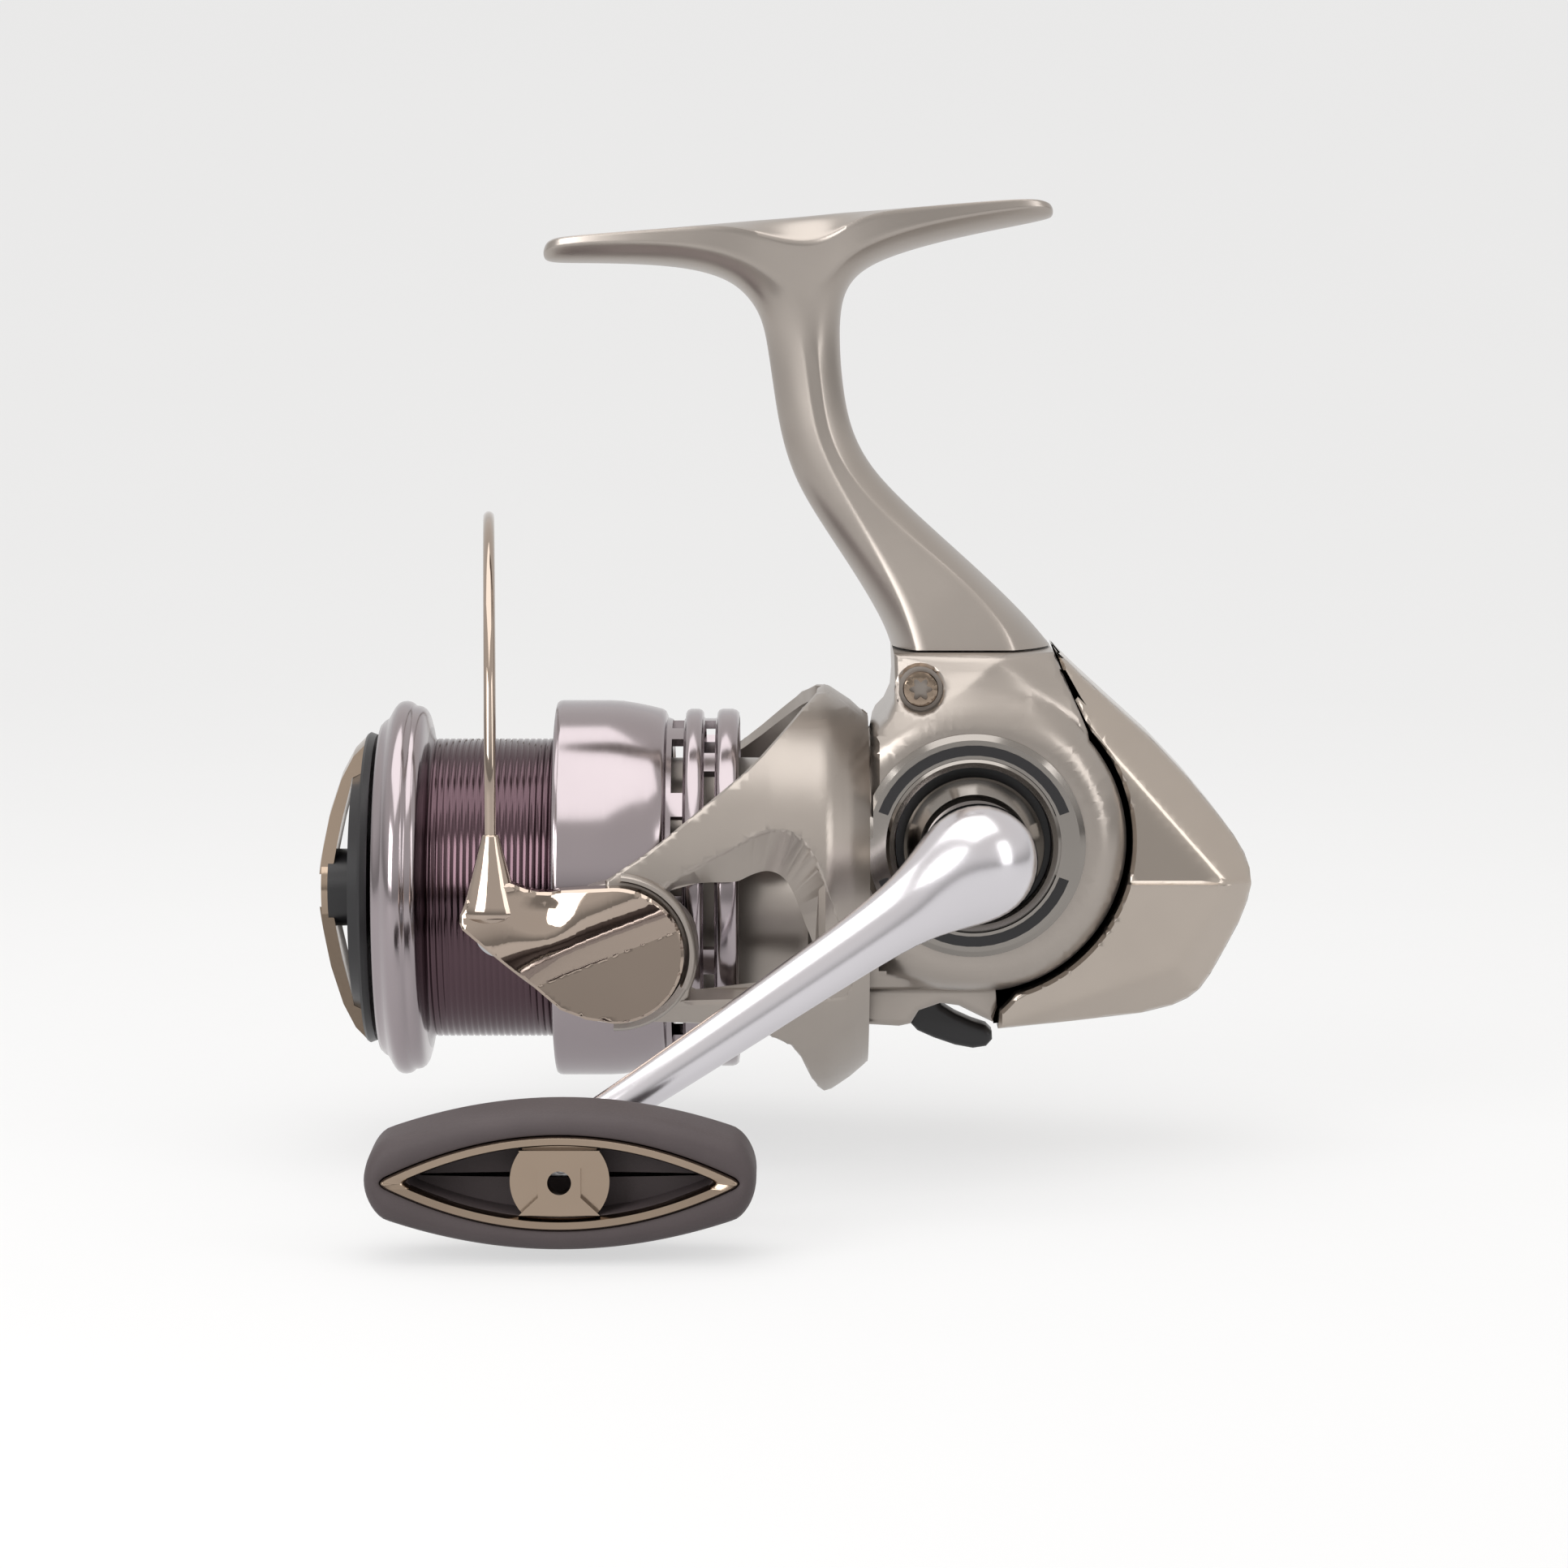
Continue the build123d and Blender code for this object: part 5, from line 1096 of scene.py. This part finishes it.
class REEL_OT_lever(bpy.types.Operator):
    """Anti-reverse lever: a smooth black paddle under the housing"""
    bl_idname = "reel.lever"
    bl_label = "Anti-reverse lever"

    def execute(self, context):
        edge = [(-7.3, -11.0), (-7.4, -16.1), (-6.2, -17.4), (-4.2, -18.3), (-1.6, -19.2), (0.6, -19.6),
                (2.2, -19.35), (2.95, -18.5), (2.9, -17.5), (2.2, -16.8), (0.4, -16.2), (-1.6, -15.3),
                (-3.2, -14.3), (-4.4, -12.6), (-4.4, -11.0)]
        bm = rounded_plate(edge, 2.3, 0.85, 5)
        finish_piece(bm, "reverse_lever_paddle", "reverse_lever", ["anti_reverse_lever"], "black_plastic",
                     sharp=50.0)
        return {"FINISHED"}


PORT_ROWS = ((-35.9, -34.5, 0.0), (-32.0, -30.7, 18.0))


class REEL_OT_spool(bpy.types.Operator):
    """Spool: rolled lip with a line groove, finely grooved arbor and a skirt with two rows of ports"""
    bl_idname = "reel.spool"
    bl_label = "Spool"

    def execute(self, context):
        bm = bmesh.new()
        lip = [(-66.4, 15.2), (-66.4, 17.2), (-70.6, 17.4), (-71.2, 17.7), (-71.4, 18.2), (-71.4, 19.3),
               (-71.3, 19.9), (-70.9, 20.3), (-70.4, 20.6), (-70.0, 21.3), (-69.6, 22.0), (-69.2, 22.45),
               (-68.8, 22.65), (-68.3, 22.7), (-67.8, 22.6), (-67.45, 22.4), (-67.25, 22.15),
               (-67.05, 22.12), (-66.8, 22.1), (-66.4, 22.0), (-66.0, 21.7), (-65.7, 21.2), (-65.45, 20.3),
               (-65.2, 19.0), (-65.0, 18.3)]
        count = 20
        grooves, pitch = [], 15.0 / count
        for i in range(count):
            x = -65.0 + i * pitch
            grooves += [(x + 0.26 * pitch, 18.1), (x + 0.44 * pitch, 17.98), (x + 0.56 * pitch, 17.98),
                        (x + 0.74 * pitch, 18.1)]
        flange = [(-50.0, 18.2), (-50.0, 22.2), (-49.9, 22.55), (-49.6, 22.75), (-49.2, 22.8)]
        turned(bm, lip + grooves + flange)
        inner = [(-66.4, 15.2), (-61.3, 15.2), (-61.3, 3.7), (-48.4, 3.7), (-48.4, 16.0), (-48.4, 20.6)]
        turned(bm, inner)
        finish_piece(bm, "spool_lip_and_arbor", "spool", ["spool"], "purple_anodised", sharp=44.0)
        bm = bmesh.new()
        skirt = [(-49.2, 22.8), (-46.0, 22.8), (-43.6, 22.8), (-42.0, 22.72), (-40.3, 22.45), (-38.6, 22.1),
                 (-37.2, 21.75), (-36.8, 21.5), (-36.6, 21.1), (-36.5, 20.7), (-35.9, 20.5), (-34.5, 20.5),
                 (-34.3, 20.7), (-34.3, 21.3), (-34.1, 21.6), (-33.7, 21.75), (-32.8, 21.75), (-32.4, 21.6),
                 (-32.2, 21.3), (-32.2, 20.8), (-32.0, 20.6), (-30.7, 20.6), (-30.5, 20.8), (-30.5, 21.3),
                 (-30.3, 21.6), (-29.9, 21.75), (-28.7, 21.75), (-28.2, 21.6), (-27.9, 21.3),
                 (-27.85, 20.9)]
        turned(bm, skirt, 160)
        doomed = []
        for face in bm.faces:
            middle = face.calc_center_median()
            for x0, x1, shift in PORT_ROWS:
                if x0 < middle.x < x1:
                    turn = (degrees(atan2(middle.y, middle.z)) - shift + 18.0) % 36.0
                    if 4.5 < turn < 31.5:
                        doomed.append(face)
        bmesh.ops.delete(bm, geom=doomed, context="FACES")
        bmesh.ops.remove_doubles(bm, verts=bm.verts, dist=0.002)
        bmesh.ops.recalc_face_normals(bm, faces=bm.faces)
        bmesh.ops.solidify(bm, geom=bm.faces[:], thickness=1.0)
        finish_piece(bm, "spool_skirt", "spool", ["spool"], "purple_anodised", sharp=44.0)
        return {"FINISHED"}


# ---------------------------------------------------------------- studio
def studio_floor(colour):
    """Matt paper sweep: even and pale, with a faint fibre."""
    material, tree, shader, mm = new_finish("Matt_paper_sweep", 0.0, {"Specular IOR Level": 0.1})
    pair = (rgba(colour, 0.27), rgba(colour, 0.28))
    add_grain(tree, shader, mm, pair, (0.8, 0.9), 2.0, 0.01, patch=60.0)
    shader.inputs["Emission Color"].default_value = rgba(colour)
    shader.inputs["Emission Strength"].default_value = 0.68
    return material


def area_light(name, place_mm, aim_mm, size_mm, power):
    """Soft rectangular light at one place, turned towards another."""
    light = bpy.data.lights.new(name, "AREA")
    light.shape = "RECTANGLE"
    light.size, light.size_y = size_mm[0] / 1000, size_mm[1] / 1000
    light.energy = power
    lamp = bpy.data.objects.new(name, light)
    bpy.context.scene.collection.objects.link(lamp)
    lamp.location = place(*place_mm)
    lamp.rotation_euler = (place(*aim_mm) - lamp.location).to_track_quat("-Z", "Y").to_euler()


class REEL_OT_stage(bpy.types.Operator):
    """Paper sweep, soft lights and camera"""
    bl_idname = "reel.stage"
    bl_label = "Studio and camera"

    def execute(self, context):
        sizes, colours = context.scene.reel_sizes, context.scene.reel_colours
        bm = bmesh.new()
        grid = bmesh.ops.create_grid(bm, x_segments=40, y_segments=60, size=1500.0)
        for v in grid["verts"]:
            v.co.y += 600.0
            past = max(0.0, v.co.y - 500.0)
            v.co.z = -sizes.floor_drop + 900.0 * (1 - cos(min(past / 900.0, 1.35)))
            v.co.y -= max(0.0, past - 900.0 * sin(min(past / 900.0, 1.35)))
        floor = finish_piece(bm, "studio_sweep", None)
        floor.data.materials.append(studio_floor(colours.floor))
        area_light("soft_top", (-60, -40, 420), (-10, 0, 10), (500, 420), 1.1)
        area_light("soft_front_left", (-330, -380, 200), (-20, 0, 0), (300, 300), 1.35)
        area_light("soft_right", (330, -260, 160), (0, 0, 0), (160, 300), 0.35)
        world = bpy.data.worlds.new("studio_room")
        context.scene.world = world
        world.use_nodes = True
        tree = world.node_tree
        tree.nodes.clear()
        coords = add_node(tree, "ShaderNodeTexCoord")
        parts = add_node(tree, "ShaderNodeSeparateXYZ", {"Vector": coords.outputs["Generated"]})
        height = add_node(tree, "ShaderNodeMapRange", {"Value": parts.outputs["Z"], "From Min": -1.0})
        ramp = add_node(tree, "ShaderNodeValToRGB", {"Fac": height.outputs["Result"]})
        stops = ramp.color_ramp.elements
        stops[0].position, stops[0].color = 0.0, (0.46, 0.47, 0.5, 1)
        stops[1].position, stops[1].color = 1.0, (1.0, 0.97, 0.94, 1)
        for position, level in ((0.42, 0.5), (0.48, 0.42), (0.53, 0.5), (0.58, 0.75), (0.66, 1.0)):
            stop = stops.new(position)
            stop.color = (level, level * 0.985, level * 0.97, 1)
        room = add_node(tree, "ShaderNodeBackground", {"Color": ramp.outputs[0], "Strength": 0.85})
        add_node(tree, "ShaderNodeOutputWorld", {"Surface": room.outputs[0]})
        context.scene.view_settings.view_transform = "Standard"
        optics = bpy.data.cameras.new("studio_camera")
        optics.lens, optics.sensor_width = sizes.camera_lens, 36.0
        camera = bpy.data.objects.new("studio_camera", optics)
        context.scene.collection.objects.link(camera)
        up = radians(sizes.camera_height)
        target = place(-22.45, 0.0, 12.64)
        away = Vector((0.0, -cos(up), sin(up))) * sizes.camera_distance / 1000
        camera.location = target + away
        camera.rotation_euler = (-away).to_track_quat("-Z", "Y").to_euler()
        optics.clip_start, optics.clip_end = 0.01, 20.0
        context.scene.camera = camera
        return {"FINISHED"}


class REEL_PT_panel(bpy.types.Panel):
    """Lists the steps that build the reel"""
    bl_idname = "REEL_PT_panel"
    bl_label = "Spinning reel"
    bl_space_type = "VIEW_3D"
    bl_region_type = "UI"
    bl_category = "Reel"

    def draw(self, context):
        for step in STEPS:
            self.layout.operator(step.bl_idname)
        for group in (context.scene.reel_sizes, context.scene.reel_colours):
            for name in group.bl_rna.properties.keys():
                if name not in ("rna_type", "name"):
                    self.layout.prop(group, name)


STEPS = (REEL_OT_finishes, REEL_OT_leg, REEL_OT_covers, REEL_OT_rotor, REEL_OT_bail, REEL_OT_crank,
         REEL_OT_knob, REEL_OT_lever, REEL_OT_spool, REEL_OT_stage)
CLASSES = (ReelColours, ReelSizes) + STEPS + (REEL_PT_panel,)


def register():
    for cls in CLASSES:
        bpy.utils.register_class(cls)
    bpy.types.Scene.reel_colours = bpy.props.PointerProperty(type=ReelColours)
    bpy.types.Scene.reel_sizes = bpy.props.PointerProperty(type=ReelSizes)


def unregister():
    del bpy.types.Scene.reel_colours
    del bpy.types.Scene.reel_sizes
    for cls in reversed(CLASSES):
        bpy.utils.unregister_class(cls)


def main():
    register()
    for step in STEPS:
        group, name = step.bl_idname.split(".")
        getattr(getattr(bpy.ops, group), name)()


if __name__ == "__main__":
    main()
